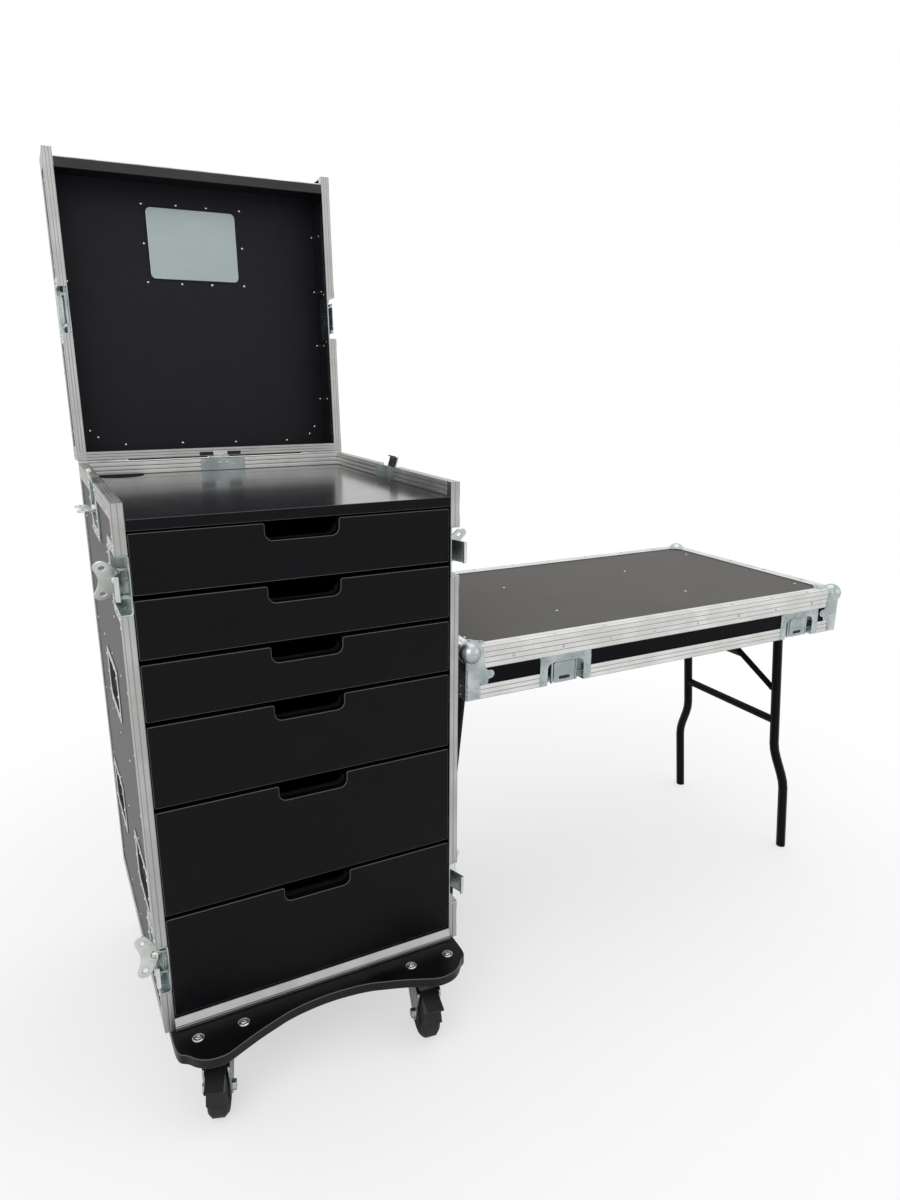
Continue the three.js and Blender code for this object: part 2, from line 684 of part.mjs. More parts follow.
function handleCavity() {
  const long = HANDLE_CAVITY_LENGTH / 2;
  const tall = HANDLE_CAVITY_HEIGHT / 2;
  const mouth = roundedRectangle(-long, long, -tall, tall, CAVITY_CORNER);
  const cavity = extrude('z', mouth, -HANDLE_DEPTH, OVERRUN);
  const pivotY = tall - BAIL_PIVOT_FROM_TOP;
  const ear = extrude('x', [
    [pivotY - EAR_WIDTH - BAIL_RADIUS, -HANDLE_DEPTH - SHEET / 2],
    [pivotY + EAR_WIDTH + BAIL_RADIUS, -HANDLE_DEPTH - SHEET / 2],
    ...arc(pivotY, -HANDLE_DEPTH / 2, BAIL_RADIUS + EAR_WIDTH / 2, 0, 180),
  ], BAIL_SPAN / 2 + BAIL_RADIUS + FIT, BAIL_SPAN / 2 + BAIL_RADIUS + FIT + EAR_WIDTH,
  [circle(pivotY, -HANDLE_DEPTH / 2, clearRadius(BAIL_RADIUS, EYE_SIDES), EYE_SIDES)]);
  return cut(cavity, ...bothSides(ear));
}

function bail() {
  const half = BAIL_SPAN / 2;
  const pivotY = HANDLE_CAVITY_HEIGHT / 2 - BAIL_PIVOT_FROM_TOP;
  const level = -HANDLE_DEPTH / 2;
  const low = pivotY - BAIL_DROP;
  const pinEnd = half + BAIL_RADIUS + FIT + EAR_WIDTH;
  const at = (x, y) => new THREE.Vector3(x, y, level);
  const route = new Route([
    at(pinEnd, pivotY),
    at(half + BAIL_RADIUS / 2, pivotY),
    at(half, pivotY - BAIL_RADIUS / 2),
    at(half, low + BAIL_BEND),
    at(half - BAIL_BEND, low),
    at(-half + BAIL_BEND, low),
    at(-half, low + BAIL_BEND),
    at(-half, pivotY - BAIL_RADIUS / 2),
    at(-half - BAIL_RADIUS / 2, pivotY),
    at(-pinEnd, pivotY),
  ]);
  const grip = bar(at(-GRIP_LENGTH / 2, low), at(GRIP_LENGTH / 2, low), GRIP_RADIUS);
  return join(sweep(route, BAIL_RADIUS, route.points.length - 1, EYE_SIDES), grip);
}

function rightWall() {
  const latches = latchPlaces.filter((place) => place.out === RIGHT)
    .map((place) => placed(dishRoom(CAVITY_LENGTH), place.origin, place.inward, place.out));
  const dishes = handleFrame().map((origin) => placed(handleDish(), origin, UP, RIGHT));
  const cavities = handleFrame().map((origin) => placed(handleCavity(), origin, UP, RIGHT));
  const panel = cut(caseWallPanel(0), ...latches);
  return cut(join(panel, ...dishes, ...runnerLevels.map(fixedRunner)), ...cavities);
}

function worktop() {
  const wide = WALL_IN - FIT;
  const narrow = HALF_WIDTH - RIM_WIDTH - FIT;
  const back = BACK_IN - FIT;
  const dishHalf = DISH_CAVITY / 2 + SHEET + FIT;
  const dishFace = HALF_WIDTH - DISH_DEPTH - SHEET - FIT;
  const side = [
    [narrow, FRONT_RECESS],
    [narrow, RIM_LIP + FIT],
    [wide, RIM_LIP + FIT],
    [wide, LID_LATCH_PLACE - dishHalf],
    [dishFace, LID_LATCH_PLACE - dishHalf],
    [dishFace, LID_LATCH_PLACE + dishHalf],
    [wide, LID_LATCH_PLACE + dishHalf],
    [wide, back],
  ];
  const outline = [...side, ...side.map(([x, y]) => [-x, y]).reverse()];
  const board = extrude('z', outline, WORKTOP_LOW, WORKTOP_TOP);
  const middle = -HALF_WIDTH + CABLE_CUT_FROM_SIDE;
  const sink = CABLE_CUT_DEPTH - CABLE_CUT_RADIUS;
  const through = [WORKTOP_LOW - OVERRUN, WORKTOP_TOP + OVERRUN];
  const moon = cylinder('z', middle, back - sink, CABLE_CUT_RADIUS, ...through, WHEEL_SIDES);
  const neck = block(middle - CABLE_CUT_RADIUS, middle + CABLE_CUT_RADIUS, back - sink, back + OVERRUN, ...through);
  return cut(board, moon, neck);
}

const casterPlaces = [
  ['front_left', -HALF_WIDTH + CASTER_INSET, -CASTER_FRONT_OVERHANG],
  ['front_right', HALF_WIDTH - CASTER_INSET, -CASTER_FRONT_OVERHANG],
  ['rear_left', -HALF_WIDTH + CASTER_REAR_INSET, CASE_DEPTH - CASTER_BACK_INSET],
  ['rear_right', HALF_WIDTH - CASTER_REAR_INSET, CASE_DEPTH - CASTER_BACK_INSET],
];

// The board's front swells into a lobe over each front caster
function dollyBoard() {
  const half = HALF_WIDTH - BOARD_INSET;
  const lobe = HALF_WIDTH - CASTER_INSET;
  const low = CASTER_HEIGHT;
  const front = new THREE.CatmullRomCurve3([
    [half, -BOARD_SHOULDER],
    [(half * 2 + lobe) / 3, -BOARD_REACH + BOARD_SHOULDER * 2 / 3],
    [lobe, -BOARD_REACH],
    [lobe / 2, (-BOARD_REACH - BOARD_MIDDLE_REACH) / 2 + BOARD_INSET / 2],
    [0, -BOARD_MIDDLE_REACH],
    [-lobe / 2, (-BOARD_REACH - BOARD_MIDDLE_REACH) / 2 + BOARD_INSET / 2],
    [-lobe, -BOARD_REACH],
    [(-half * 2 - lobe) / 3, -BOARD_REACH + BOARD_SHOULDER * 2 / 3],
    [-half, -BOARD_SHOULDER],
  ].map(([x, y]) => new THREE.Vector3(x, y, 0)));
  const curve = front.getPoints(BOARD_STEPS).map((point) => [point.x, point.y]);
  const board = extrude('z', [...curve, [-half, CASE_DEPTH - BOARD_INSET], [half, CASE_DEPTH - BOARD_INSET]],
    low, CASE_BASE - FIT);
  const plates = casterPlaces.flatMap(([, x, y]) => [
    block(x - CASTER_PLATE_WIDTH / 2, x + CASTER_PLATE_WIDTH / 2,
      y - CASTER_PLATE_LENGTH / 2, y + CASTER_PLATE_LENGTH / 2, low - CASTER_PLATE, low),
    cylinder('z', x, y, SWIVEL_RADIUS, low - CASTER_PLATE - SWIVEL_HEIGHT, low - CASTER_PLATE / 2),
  ]);
  return join(board, ...plates);
}

// Casters, in a frame with the swivel axis at X = Y = 0, the wheel trailing towards +Y and the floor at Z = 0

const wheelRadius = WHEEL_DIAMETER / 2;
const forkTop = CASTER_HEIGHT - CASTER_PLATE - SWIVEL_HEIGHT - FIT;
const forkInner = HUB_WIDTH / 2 + HUB_GAP;
const forkOuter = forkInner + FORK_PLATE;
const pedalRadius = wheelRadius + PEDAL_CLEARANCE + PEDAL_EYE;
const pedalPivot = [
  WHEEL_OFFSET + pedalRadius * Math.sin(THREE.MathUtils.degToRad(PEDAL_LEAN_DEGREES)),
  wheelRadius + pedalRadius * Math.cos(THREE.MathUtils.degToRad(PEDAL_LEAN_DEGREES)),
];

function fork() {
  const [pivotY, pivotZ] = pedalPivot;
  const crown = forkTop - FORK_CROWN;
  const leg = [
    [-FORK_CROWN_FRONT, forkTop],
    [-FORK_CROWN_FRONT, crown - FORK_CROWN],
    ...arc(WHEEL_OFFSET, wheelRadius, FORK_EYE, ...FORK_EYE_DEGREES, ARC_STEPS * 2 - 1),
    ...arc(pivotY, pivotZ, PEDAL_EYE, 0, 90),
    [FORK_CROWN_BACK, forkTop],
  ];
  const pinHole = circle(pivotY, pivotZ, clearRadius(PEDAL_PIN_RADIUS, TUBE_SIDES), TUBE_SIDES);
  const plate = extrude('x', leg, forkInner, forkOuter, [pinHole]);
  const top = block(-forkOuter, forkOuter, -FORK_CROWN_FRONT, FORK_CROWN_BACK, crown, forkTop);
  const race = cylinder('z', 0, 0, FORK_CROWN_FRONT, crown - FORK_CROWN, forkTop);
  const axleEnd = forkInner + FORK_PLATE / 2;
  const axle = cylinder('x', WHEEL_OFFSET, wheelRadius, AXLE_RADIUS, -axleEnd, axleEnd, TUBE_SIDES);
  const nut = cylinder('x', WHEEL_OFFSET, wheelRadius, AXLE_NUT_RADIUS,
    forkOuter - FIT, forkOuter + AXLE_NUT, NUT_SIDES);
  return join(...bothSides(plate), top, race, axle, ...bothSides(nut));
}

// The wheel stands on one of its facets
function wheel() {
  const tyre = WHEEL_WIDTH / 2;
  const hub = HUB_WIDTH / 2;
  const web = WEB_WIDTH / 2;
  const halfStep = Math.PI / WHEEL_SIDES;
  const tread = wheelRadius / Math.cos(halfStep);
  const side = [
    [AXLE_RADIUS + FIT, hub],
    [HUB_RADIUS, hub],
    [HUB_RADIUS, web],
    [RIM_RADIUS, tyre],
    [tread - WHEEL_CORNER, tyre],
    [tread, tyre - WHEEL_CORNER],
  ];
  const profile = [...side.map(([r, x]) => [r, -x]), ...side.reverse()];
  profile.push(profile[0]);
  const rim = profile.map(([r, x]) => new THREE.Vector2(r, x));
  const ring = new THREE.LatheGeometry(rim, WHEEL_SIDES, halfStep);
  return moved(turned(ring, UP, -90), 0, WHEEL_OFFSET, wheelRadius);
}

function pedal() {
  const [pivotY, pivotZ] = pedalPivot;
  const [start, end] = PEDAL_SPAN_DEGREES;
  const inner = wheelRadius + PEDAL_CLEARANCE;
  const outer = inner + PEDAL_THICKNESS;
  const cover = extrude('x', [
    ...arc(WHEEL_OFFSET, wheelRadius, inner, start, end, ARC_STEPS * 2),
    ...arc(WHEEL_OFFSET, wheelRadius, outer, end, PEDAL_NECK_DEGREES, ARC_STEPS),
    [WHEEL_OFFSET + outer + PEDAL_TREAD / 2, wheelRadius + outer - PEDAL_TREAD / 2],
    [WHEEL_OFFSET + outer + PEDAL_TREAD / 2, wheelRadius + outer - PEDAL_TREAD / 2 + PEDAL_THICKNESS],
    ...arc(pivotY, pivotZ, PEDAL_EYE, ...PEDAL_EYE_DEGREES),
    arc(WHEEL_OFFSET, wheelRadius, outer, start, start, 1)[0],
  ], -PEDAL_WIDTH / 2, PEDAL_WIDTH / 2);
  const pin = cylinder('x', pivotY, pivotZ, PEDAL_PIN_RADIUS, -forkOuter, forkOuter, TUBE_SIDES);
  return join(cover, pin);
}

// Drawers

function drawerFront([low, top]) {
  const half = HALF_WIDTH - FRONT_SIDE_GAP;
  return extrude('y', [[-half, low], [half, low], [half, top], ...fingerCut(top), [-half, top]],
    FRONT_RECESS, FRONT_RECESS + FRONT_THICKNESS);
}

// The cut-out's outline from its right top corner to its left one
function fingerCut(top) {
  const half = FINGER_WIDTH / 2;
  const low = top - FINGER_DEPTH;
  return [
    [half, top],
    ...arc(half - FINGER_RADIUS, low + FINGER_RADIUS, FINGER_RADIUS, 0, -90),
    ...arc(-half + FINGER_RADIUS, low + FINGER_RADIUS, FINGER_RADIUS, 270, 180),
    [-half, top],
  ];
}

function drawerBox([low, top], runnerLevel) {
  const z0 = low + BOX_BOTTOM_GAP;
  const z1 = top - BOX_TOP_GAP;
  const body = block(-BOX_HALF, BOX_HALF, BOX_FRONT, BOX_BACK, z0, z1);
  const inside = block(-BOX_HALF + BOX_WALL, BOX_HALF - BOX_WALL, BOX_FRONT + BOX_WALL, BOX_BACK - BOX_WALL,
    z0 + BOX_BOTTOM, z1 + OVERRUN);
  const finger = extrude('y', fingerCut(top + OVERRUN), BOX_FRONT - OVERRUN, BOX_FRONT + BOX_WALL + FIT);
  const sunk = moved(finger, 0, 0, -OVERRUN);
  const member = block(BOX_HALF - SHEET, BOX_HALF + RUNNER_MEMBER, RUNNER_START, BOX_BACK,
    runnerLevel + RUNNER_SHEET + FIT, runnerLevel + RUNNER_HEIGHT - RUNNER_SHEET - FIT);
  return join(cut(body, inside, sunk), ...bothSides(member));
}

// Lid, built closed and then turned open about its hinge

const lidKeeperPlaces = [LEFT, RIGHT].map((out) => ({
  origin: new THREE.Vector3(out.x * HALF_WIDTH, LID_LATCH_PLACE, LID_BASE),
  inward: UP,
  out,
}));

const keeperSolid = () => join(
  cut(dishShell(KEEPER_LENGTH, KEEPER_CAVITY_LENGTH), dishCavity(KEEPER_CAVITY_LENGTH)),
  catchBar(),
);

const atPlaces = (places, makeGeometry) =>
  places.map((place) => placed(makeGeometry(), place.origin, place.inward, place.out));

// The lid's panel and four walls, the front one set back from the ends of the side walls
function lidTray(grow) {
  const low = LID_BASE + FRONT_IN - grow;
  const top = LID_TOP - SKIN - FIT;
  const wall = LID_FRONT_SETBACK + RIM_SKIN + FIT;
  const body = block(-WALL_OUT - grow, WALL_OUT + grow, FRONT_IN - grow, BACK_OUT + grow, low, top + grow);
  const inner = WALL_IN - grow;
  const inside = block(-inner, inner, wall + PANEL + grow, BACK_IN - grow, low - OVERRUN, top - PANEL - grow);
  const porch = block(-inner, inner, -OVERRUN, wall - grow, low - OVERRUN, top - PANEL - grow);
  return cut(body, inside, porch);
}

function lidShell() {
  const top = LID_TOP - SKIN - FIT;
  const middle = CASE_DEPTH - LABEL_DISH_FROM_HINGE;
  const label = (grow, z0, z1) => extrude('z', roundedRectangle(
    -LABEL_DISH_LENGTH / 2 + grow, LABEL_DISH_LENGTH / 2 - grow,
    middle - LABEL_DISH_HEIGHT / 2 + grow, middle + LABEL_DISH_HEIGHT / 2 - grow, LABEL_DISH_CORNER), z0, z1);
  const tray = cut(lidTray(0), ...atPlaces(lidKeeperPlaces, () => dishRoom(KEEPER_CAVITY_LENGTH)));
  const dish = label(0, top - PANEL - LABEL_DISH_DEPTH, top - PANEL / 2);
  return cut(join(tray, dish), label(SHEET, top - PANEL - LABEL_DISH_DEPTH + SHEET, top + OVERRUN));
}

function lidEdging() {
  const high = [LID_BASE, LID_TOP];
  const deep = [0, CASE_DEPTH];
  const wide = [-HALF_WIDTH, HALF_WIDTH];
  const frontLeg = RIM_LIP - EDGE_CHAMFER;
  const lengths = [];
  for (const sign of [-1, 1]) {
    const x = sign * HALF_WIDTH;
    lengths.push(edge('y', rimProfile(LEG), x, -sign, LID_BASE, 1, ...deep));
    lengths.push(edge('y', angleProfile(LEG, LEG), x, -sign, LID_TOP, -1, ...deep));
    lengths.push(edge('z', angleProfile(frontLeg, LEG), x, -sign, 0, 1, ...high));
    lengths.push(edge('z', angleProfile(LEG, LEG), x, -sign, CASE_DEPTH, -1, ...high));
  }
  lengths.push(edge('x', rimProfile(LEG), CASE_DEPTH, -1, LID_BASE, 1, ...wide));
  lengths.push(edge('x', angleProfile(LEG, LEG), CASE_DEPTH, -1, LID_TOP, -1, ...wide));
  lengths.push(edge('x', angleProfile(LEG, LEG), 0, 1, LID_TOP, -1, ...wide));
  lengths.push(edge('x', angleProfile(RIM_WIDTH, RIM_LIP), LID_FRONT_SETBACK, 1, LID_BASE, 1,
    -HALF_WIDTH + SKIN / 2, HALF_WIDTH - SKIN / 2));
  const rooms = atPlaces(lidKeeperPlaces, () => dishRoom(KEEPER_CAVITY_LENGTH - FIT));
  const frame = cut(join(...lengths), lidTray(FIT), ...rooms);
  const hardware = [
    ...atPlaces(lidKeeperPlaces, keeperSolid),
    ...hingeLeaves(LID_BASE, LID_BASE + HINGE_LEAF),
    ...lidKnuckles(),
  ];
  return cut(join(frame, ...hardware), ...roomForCaseKnuckles());
}

// Cover, standing as a table: its outer panel is the table top and its open side faces down.
// Its frame has X = Y = 0 at the middle of the table top.

const coverKeeperPlaces = [TABLE_RIGHT - UPPER_LATCH_RISE, TABLE_RIGHT - LOWER_LATCH_RISE]
  .flatMap((x) => [[FRONT, TABLE_FRONT], [BACK, TABLE_BACK]].map(([out, y]) => ({
    origin: new THREE.Vector3(x, y, TABLE_RIM),
    inward: UP,
    out,
  })));

const leanTangent = Math.tan(THREE.MathUtils.degToRad(LEG_LEAN_DEGREES));
const upperFrameDepth = LOWER_FRAME_DEPTH - TUBE - LEG_FOLD_GAP;

// Each frame leans outwards from its hinge near its end of the table
const frames = {
  left: { lean: -1, hingeZ: TABLE_HEIGHT - LOWER_FRAME_DEPTH, lugX: TABLE_LEFT + LEG_INSET + STAY_LUG_INSET },
  right: { lean: 1, hingeZ: TABLE_HEIGHT - upperFrameDepth, lugX: TABLE_RIGHT - LEG_INSET - STAY_LUG_INSET },
};

for (const frame of Object.values(frames)) {
  const nominalZ = TABLE_HEIGHT - LOWER_FRAME_DEPTH;
  const nominalX = frame.lean < 0 ? TABLE_LEFT + LEG_INSET : TABLE_RIGHT - LEG_INSET;
  frame.legX = (z) => nominalX + frame.lean * leanTangent * (nominalZ - z);
  frame.hingeX = frame.legX(frame.hingeZ);
  frame.stayFoot = new THREE.Vector3(frame.legX(STAY_FOOT_LEVEL), 0, STAY_FOOT_LEVEL);
  frame.stayTop = new THREE.Vector3(frame.lugX, 0, TABLE_HEIGHT - STAY_LUG_DEPTH);
  frame.stayJoint = frame.stayTop.clone().lerp(frame.stayFoot, STAY_UPPER_SHARE);
}

// A plate that hangs from the underside of the table top and ends in an eye
const hanger = (x, z, eyeRadius, width, y0, y1) => extrude('y', [
  [x - width / 2, TRAY_UNDERSIDE + PANEL / 2],
  ...arc(x, z, eyeRadius, 180, 360, ARC_STEPS * 2),
  [x + width / 2, TRAY_UNDERSIDE + PANEL / 2],
], y0, y1);

function hingeBrackets({ hingeX, hingeZ }) {
  const half = BRACKET_THICKNESS / 2;
  return [-1, 1].map((side) => {
    const y = (side * BRACKET_SPAN) / 2;
    return hanger(hingeX, hingeZ, TUBE / 2 + SHEET * 2, BRACKET_WIDTH, y - half, y + half);
  });
}

// The lug fills one half of the stay's thickness and its pin the other
function stayLug({ stayTop: top }) {
  const half = STAY_LINK_THICKNESS / 2;
  return join(
    hanger(top.x, top.z, STAY_LUG_WIDTH / 2, STAY_LUG_WIDTH, top.y - half, top.y - FIT / 2),
    cylinder('y', top.x, top.z, STAY_PIN_RADIUS, top.y - half, top.y + half, TUBE_SIDES),
  );
}

// The table top and its four walls
function coverBoards(grow) {
  const low = TABLE_RIM + FRONT_IN - grow;
  const inset = SKIN + FIT - grow;
  const outer = block(TABLE_LEFT + inset, TABLE_RIGHT - inset, TABLE_FRONT + inset, TABLE_BACK - inset,
    low, TRAY_TOP + grow);
  const wall = SKIN + FIT + PANEL + grow;
  const inner = block(TABLE_LEFT + wall, TABLE_RIGHT - wall, TABLE_FRONT + wall, TABLE_BACK - wall,
    low - OVERRUN, TRAY_UNDERSIDE - grow);
  return cut(outer, inner);
}

function coverTray() {
  const wall = SKIN + FIT + PANEL;
  const tray = cut(coverBoards(0), ...atPlaces(coverKeeperPlaces, () => dishRoom(KEEPER_CAVITY_LENGTH)));
  const hardware = Object.values(frames).flatMap((frame) => [...hingeBrackets(frame), stayLug(frame)]);
  const holes = Object.values(frames).map((frame) => cylinder('y', frame.hingeX, frame.hingeZ,
    clearRadius(TUBE / 2, ROUND_SIDES), TABLE_FRONT + wall, TABLE_BACK - wall));
  return cut(join(tray, ...hardware), ...holes);
}

function ballCorner(x, y) {
  const ball = new THREE.SphereGeometry(BALL_RADIUS, ROUND_SIDES, ROUND_SIDES / 2);
  ball.rotateX(Math.PI / 2);
  const signX = x === TABLE_LEFT ? 1 : -1;
  const signY = y === TABLE_FRONT ? 1 : -1;
  const sink = BALL_RADIUS - BALL_DEPTH;
  return moved(ball, x + signX * sink, y + signY * sink, TABLE_HEIGHT - sink);
}

function coverEdging() {
  const long = [TABLE_LEFT, TABLE_RIGHT];
  const wide = [TABLE_FRONT, TABLE_BACK];
  const high = [TABLE_RIM, TABLE_HEIGHT];
  const lengths = [];
  for (const [y, sign] of [[TABLE_FRONT, 1], [TABLE_BACK, -1]]) {
    lengths.push(edge('x', angleProfile(LEG, COVER_TOP_LEG), y, sign, TABLE_HEIGHT, -1, ...long));
    lengths.push(edge('x', rimProfile(LEG), y, sign, TABLE_RIM, 1, ...long));
  }
  for (const [x, sign] of [[TABLE_LEFT, 1], [TABLE_RIGHT, -1]]) {
    lengths.push(edge('y', angleProfile(LEG, COVER_TOP_LEG), x, sign, TABLE_HEIGHT, -1, ...wide));
    lengths.push(edge('y', rimProfile(LEG), x, sign, TABLE_RIM, 1, ...wide));
    lengths.push(edge('z', angleProfile(LEG, LEG), x, sign, TABLE_FRONT, 1, ...high));
    lengths.push(edge('z', angleProfile(LEG, LEG), x, sign, TABLE_BACK, -1, ...high));
  }
  const corners = long.flatMap((x) => wide.map((y) => ballCorner(x, y)));
  const room = block(TABLE_LEFT + SKIN, TABLE_RIGHT - SKIN, TABLE_FRONT + SKIN, TABLE_BACK - SKIN,
    TABLE_RIM + LEG, TABLE_HEIGHT - SKIN);
  const balls = cut(join(...corners), room);
  const frame = cut(join(...lengths), coverBoards(FIT),
    ...atPlaces(coverKeeperPlaces, () => dishRoom(KEEPER_CAVITY_LENGTH - FIT)));
  return join(frame, balls, ...atPlaces(coverKeeperPlaces, keeperSolid));
}

// A leg's middle line: straight from the hinge, then an outward S-bend, then straight to the foot
function legRoute(frame, side) {
  const at = (z, spread) => new THREE.Vector3(frame.legX(z), side * spread, z);
  const bend = Array.from({ length: LEG_STEPS + 1 }, (_, i) => {
    const share = i / LEG_STEPS;
    return at(THREE.MathUtils.lerp(LEG_BEND_TOP, LEG_BEND_FOOT, share),
      THREE.MathUtils.lerp(LEG_HALF_SPAN, FOOT_HALF_SPAN, THREE.MathUtils.smoothstep(share, 0, 1)));
  });
  return new Route([at(frame.hingeZ, LEG_HALF_SPAN), ...bend, at(-TUBE, FOOT_HALF_SPAN)]);
}

function legFrame(frame) {
  const leg = (side) => {
    const route = legRoute(frame, side);
    return sweep(route, TUBE / 2, route.points.length - 1);
  };
  const across = (z, radius) => bar(
    new THREE.Vector3(frame.legX(z), -LEG_HALF_SPAN, z),
    new THREE.Vector3(frame.legX(z), LEG_HALF_SPAN, z), radius);
  const hinge = cylinder('y', frame.hingeX, frame.hingeZ, TUBE / 2,
    -LEG_HALF_SPAN - TUBE / 4, LEG_HALF_SPAN + TUBE / 4);
  const pins = [-1, 1].map((side) => {
    const outer = side * LEG_HALF_SPAN;
    const inner = side * (LEG_HALF_SPAN - TUBE / 2 - STAY_PIN_LENGTH);
    const span = [Math.min(outer, inner), Math.max(outer, inner)];
    return cylinder('y', frame.stayFoot.x, frame.stayFoot.z, STAY_PIN_RADIUS, ...span, TUBE_SIDES);
  });
  const floor = block(frame.legX(0) - TUBE * 2, frame.legX(0) + TUBE * 2,
    TABLE_FRONT - OVERRUN, TABLE_BACK + OVERRUN, -TUBE * 2, 0);
  return cut(join(leg(-1), leg(1), hinge, across(CROSS_BAR_LEVEL, CROSS_BAR / 2), ...pins), floor);
}

// The frame of a stay arm: its X runs along the arm from its start and its Y towards the back
function armFrame(start, end) {
  const u = end.clone().sub(start).normalize();
  return new THREE.Matrix4().makeBasis(u, BACK, new THREE.Vector3().crossVectors(u, BACK)).setPosition(start);
}

const pinHoleOutline = () => circle(0, 0, clearRadius(STAY_PIN_RADIUS, TUBE_SIDES), TUBE_SIDES);

// Two arms that run in from the legs to the middle joint, with a plate across them
function lowerStay(frame) {
  const { stayFoot: foot, stayJoint: joint } = frame;
  const eyeOut = LEG_HALF_SPAN - TUBE / 2 - FIT * 2;
  const footSpan = eyeOut - STAY_THICKNESS / 2;
  const jointSpan = STAY_LINK_THICKNESS / 2 + FIT + STAY_THICKNESS / 2;
  const length = foot.distanceTo(joint);
  const half = STAY_THICKNESS / 2;
  const arm = (side) => extrude('z', [
    [0, side * (footSpan - half)],
    [0, side * (footSpan + half)],
    [length, side * (jointSpan + half)],
    [length, side * (jointSpan - half)],
  ], -STAY_WIDTH / 2, STAY_WIDTH / 2);
  const eye = (s, span) => {
    return extrude('y', circle(s, 0, STAY_EYE, TUBE_SIDES), span - half, span + half);
  };
  const spanAt = (share) => footSpan + (jointSpan - footSpan) * share;
  const plateSpan = spanAt(STAY_PLATE_SHARE);
  const middle = length * STAY_PLATE_SHARE;
  const plateOutline = rectangle(middle - STAY_WIDTH / 2, middle + STAY_WIDTH / 2, -plateSpan, plateSpan);
  const plate = extrude('z', plateOutline, -half, half);
  const pieces = [plate];
  for (const side of [-1, 1]) {
    pieces.push(arm(side), eye(0, side * footSpan), eye(length, side * jointSpan));
  }
  const holes = [-1, 1].map((side) => extrude('y', pinHoleOutline(),
    side * footSpan - STAY_THICKNESS * 3, side * footSpan + STAY_THICKNESS * 3));
  return cut(join(...pieces), ...holes).applyMatrix4(armFrame(foot, joint));
}

function upperStay(frame) {
  const { stayTop: top, stayJoint: joint } = frame;
  const length = top.distanceTo(joint);
  const half = STAY_LINK_THICKNESS / 2;
  const link = extrude('y', rectangle(0, length, -STAY_WIDTH / 2, STAY_WIDTH / 2), FIT / 2, half);
  const eyes = [0, length].map((s) => extrude('y', circle(s, 0, STAY_EYE, TUBE_SIDES), FIT / 2, half));
  const hole = extrude('y', pinHoleOutline(), -half, half + OVERRUN);
  return cut(join(link, ...eyes), hole).applyMatrix4(armFrame(top, joint));
}

// Assembly

const model = new THREE.Group();

function add(parent, name, geometry, material) {
  const mesh = new THREE.Mesh(geometry, new THREE.MeshStandardMaterial(materials[material]));
  mesh.name = name;
  parent.add(mesh);
}

add(model, 'right_wall', rightWall(), 'board');
add(model, 'left_wall', mirrored(rightWall()), 'board');
add(model, 'back_wall', backPanel(0), 'board');
add(model, 'case_floor', floorPanel(0), 'board');
add(model, 'worktop', worktop(), 'worktop');
add(model, 'dolly_board', dollyBoard(), 'board');
add(model, 'case_edging', caseEdging(), 'aluminium');

frontLevels.forEach((levels, i) => {
  add(model, `drawer_${i + 1}_front`, drawerFront(levels), 'front');
  add(model, `drawer_${i + 1}_box`, drawerBox(levels, runnerLevels[i]), 'film_board');
});

for (const place of latchPlaces) {
  const put = (geometry) => placed(geometry, place.origin, place.inward, place.out);
  add(model, `${place.name}_latch_wing`, put(wing(place.turn)), 'zinc');
  add(model, `${place.name}_latch_hook`, put(hook()), 'zinc');
}

for (const [side, out] of [['left', LEFT], ['right', RIGHT]]) {
  handleFrame().forEach((origin, i) => {
    const place = origin.clone().setX(origin.x * out.x);
    add(model, `${side}_handle_${i + 1}_bail`, placed(bail(), place, UP, out), 'black_steel');
  });
}

for (const [name, x, y] of casterPlaces) {
  const swivel = new THREE.Group();
  swivel.position.set(x, y, 0);
  swivel.rotation.z = Math.PI - THREE.MathUtils.degToRad(CASTER_TURN_DEGREES[name]);
  add(swivel, `${name}_caster_fork`, fork(), 'zinc');
  add(swivel, `${name}_caster_wheel`, wheel(), 'tyre');
  add(swivel, `${name}_caster_pedal`, pedal(), 'black_steel');
  model.add(swivel);
}

const lid = new THREE.Group();
lid.position.set(0, LID_HINGE_Y, LID_HINGE_Z);
lid.rotation.x = -THREE.MathUtils.degToRad(LID_OPEN_DEGREES);
add(lid, 'lid_shell', moved(lidShell(), 0, -LID_HINGE_Y, -LID_HINGE_Z), 'board');
add(lid, 'lid_edging', moved(lidEdging(), 0, -LID_HINGE_Y, -LID_HINGE_Z), 'aluminium');
model.add(lid);

const table = new THREE.Group();
table.position.set(HALF_WIDTH + TABLE_GAP + TABLE_RIGHT, TABLE_SETBACK + TABLE_BACK, 0);
add(table, 'cover_tray', coverTray(), 'board');
add(table, 'cover_edging', coverEdging(), 'aluminium');
for (const [side, frame] of Object.entries(frames)) {
  add(table, `${side}_leg_frame`, legFrame(frame), 'black_steel');
  add(table, `${side}_lower_stay`, lowerStay(frame), 'black_steel');
  add(table, `${side}_upper_stay`, upperStay(frame), 'black_steel');
}
model.add(table);

// The origin is the middle of the whole object's footprint, on the floor
const bounds = new THREE.Box3().setFromObject(model, true);
const centre = bounds.getCenter(new THREE.Vector3());
const part = new THREE.Group();
model.position.set(-centre.x, -centre.y, -bounds.min.z);
part.add(model);

export default part;
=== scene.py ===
# %% [markdown]
# # A road case with drawers, dressed over its CAD frame
# The case is plywood under a thin black laminate. Pressed steel and ribbed aluminium protect every
# edge. The CAD gives the solids and their joints. This lesson adds what the eye looks for: the ribs of
# the edging, the rivets, the stamped corners, the rounded drawer fronts and a finish for everything.

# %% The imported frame
import math

import bmesh
import bpy
import numpy as np
from mathutils import Matrix, Vector


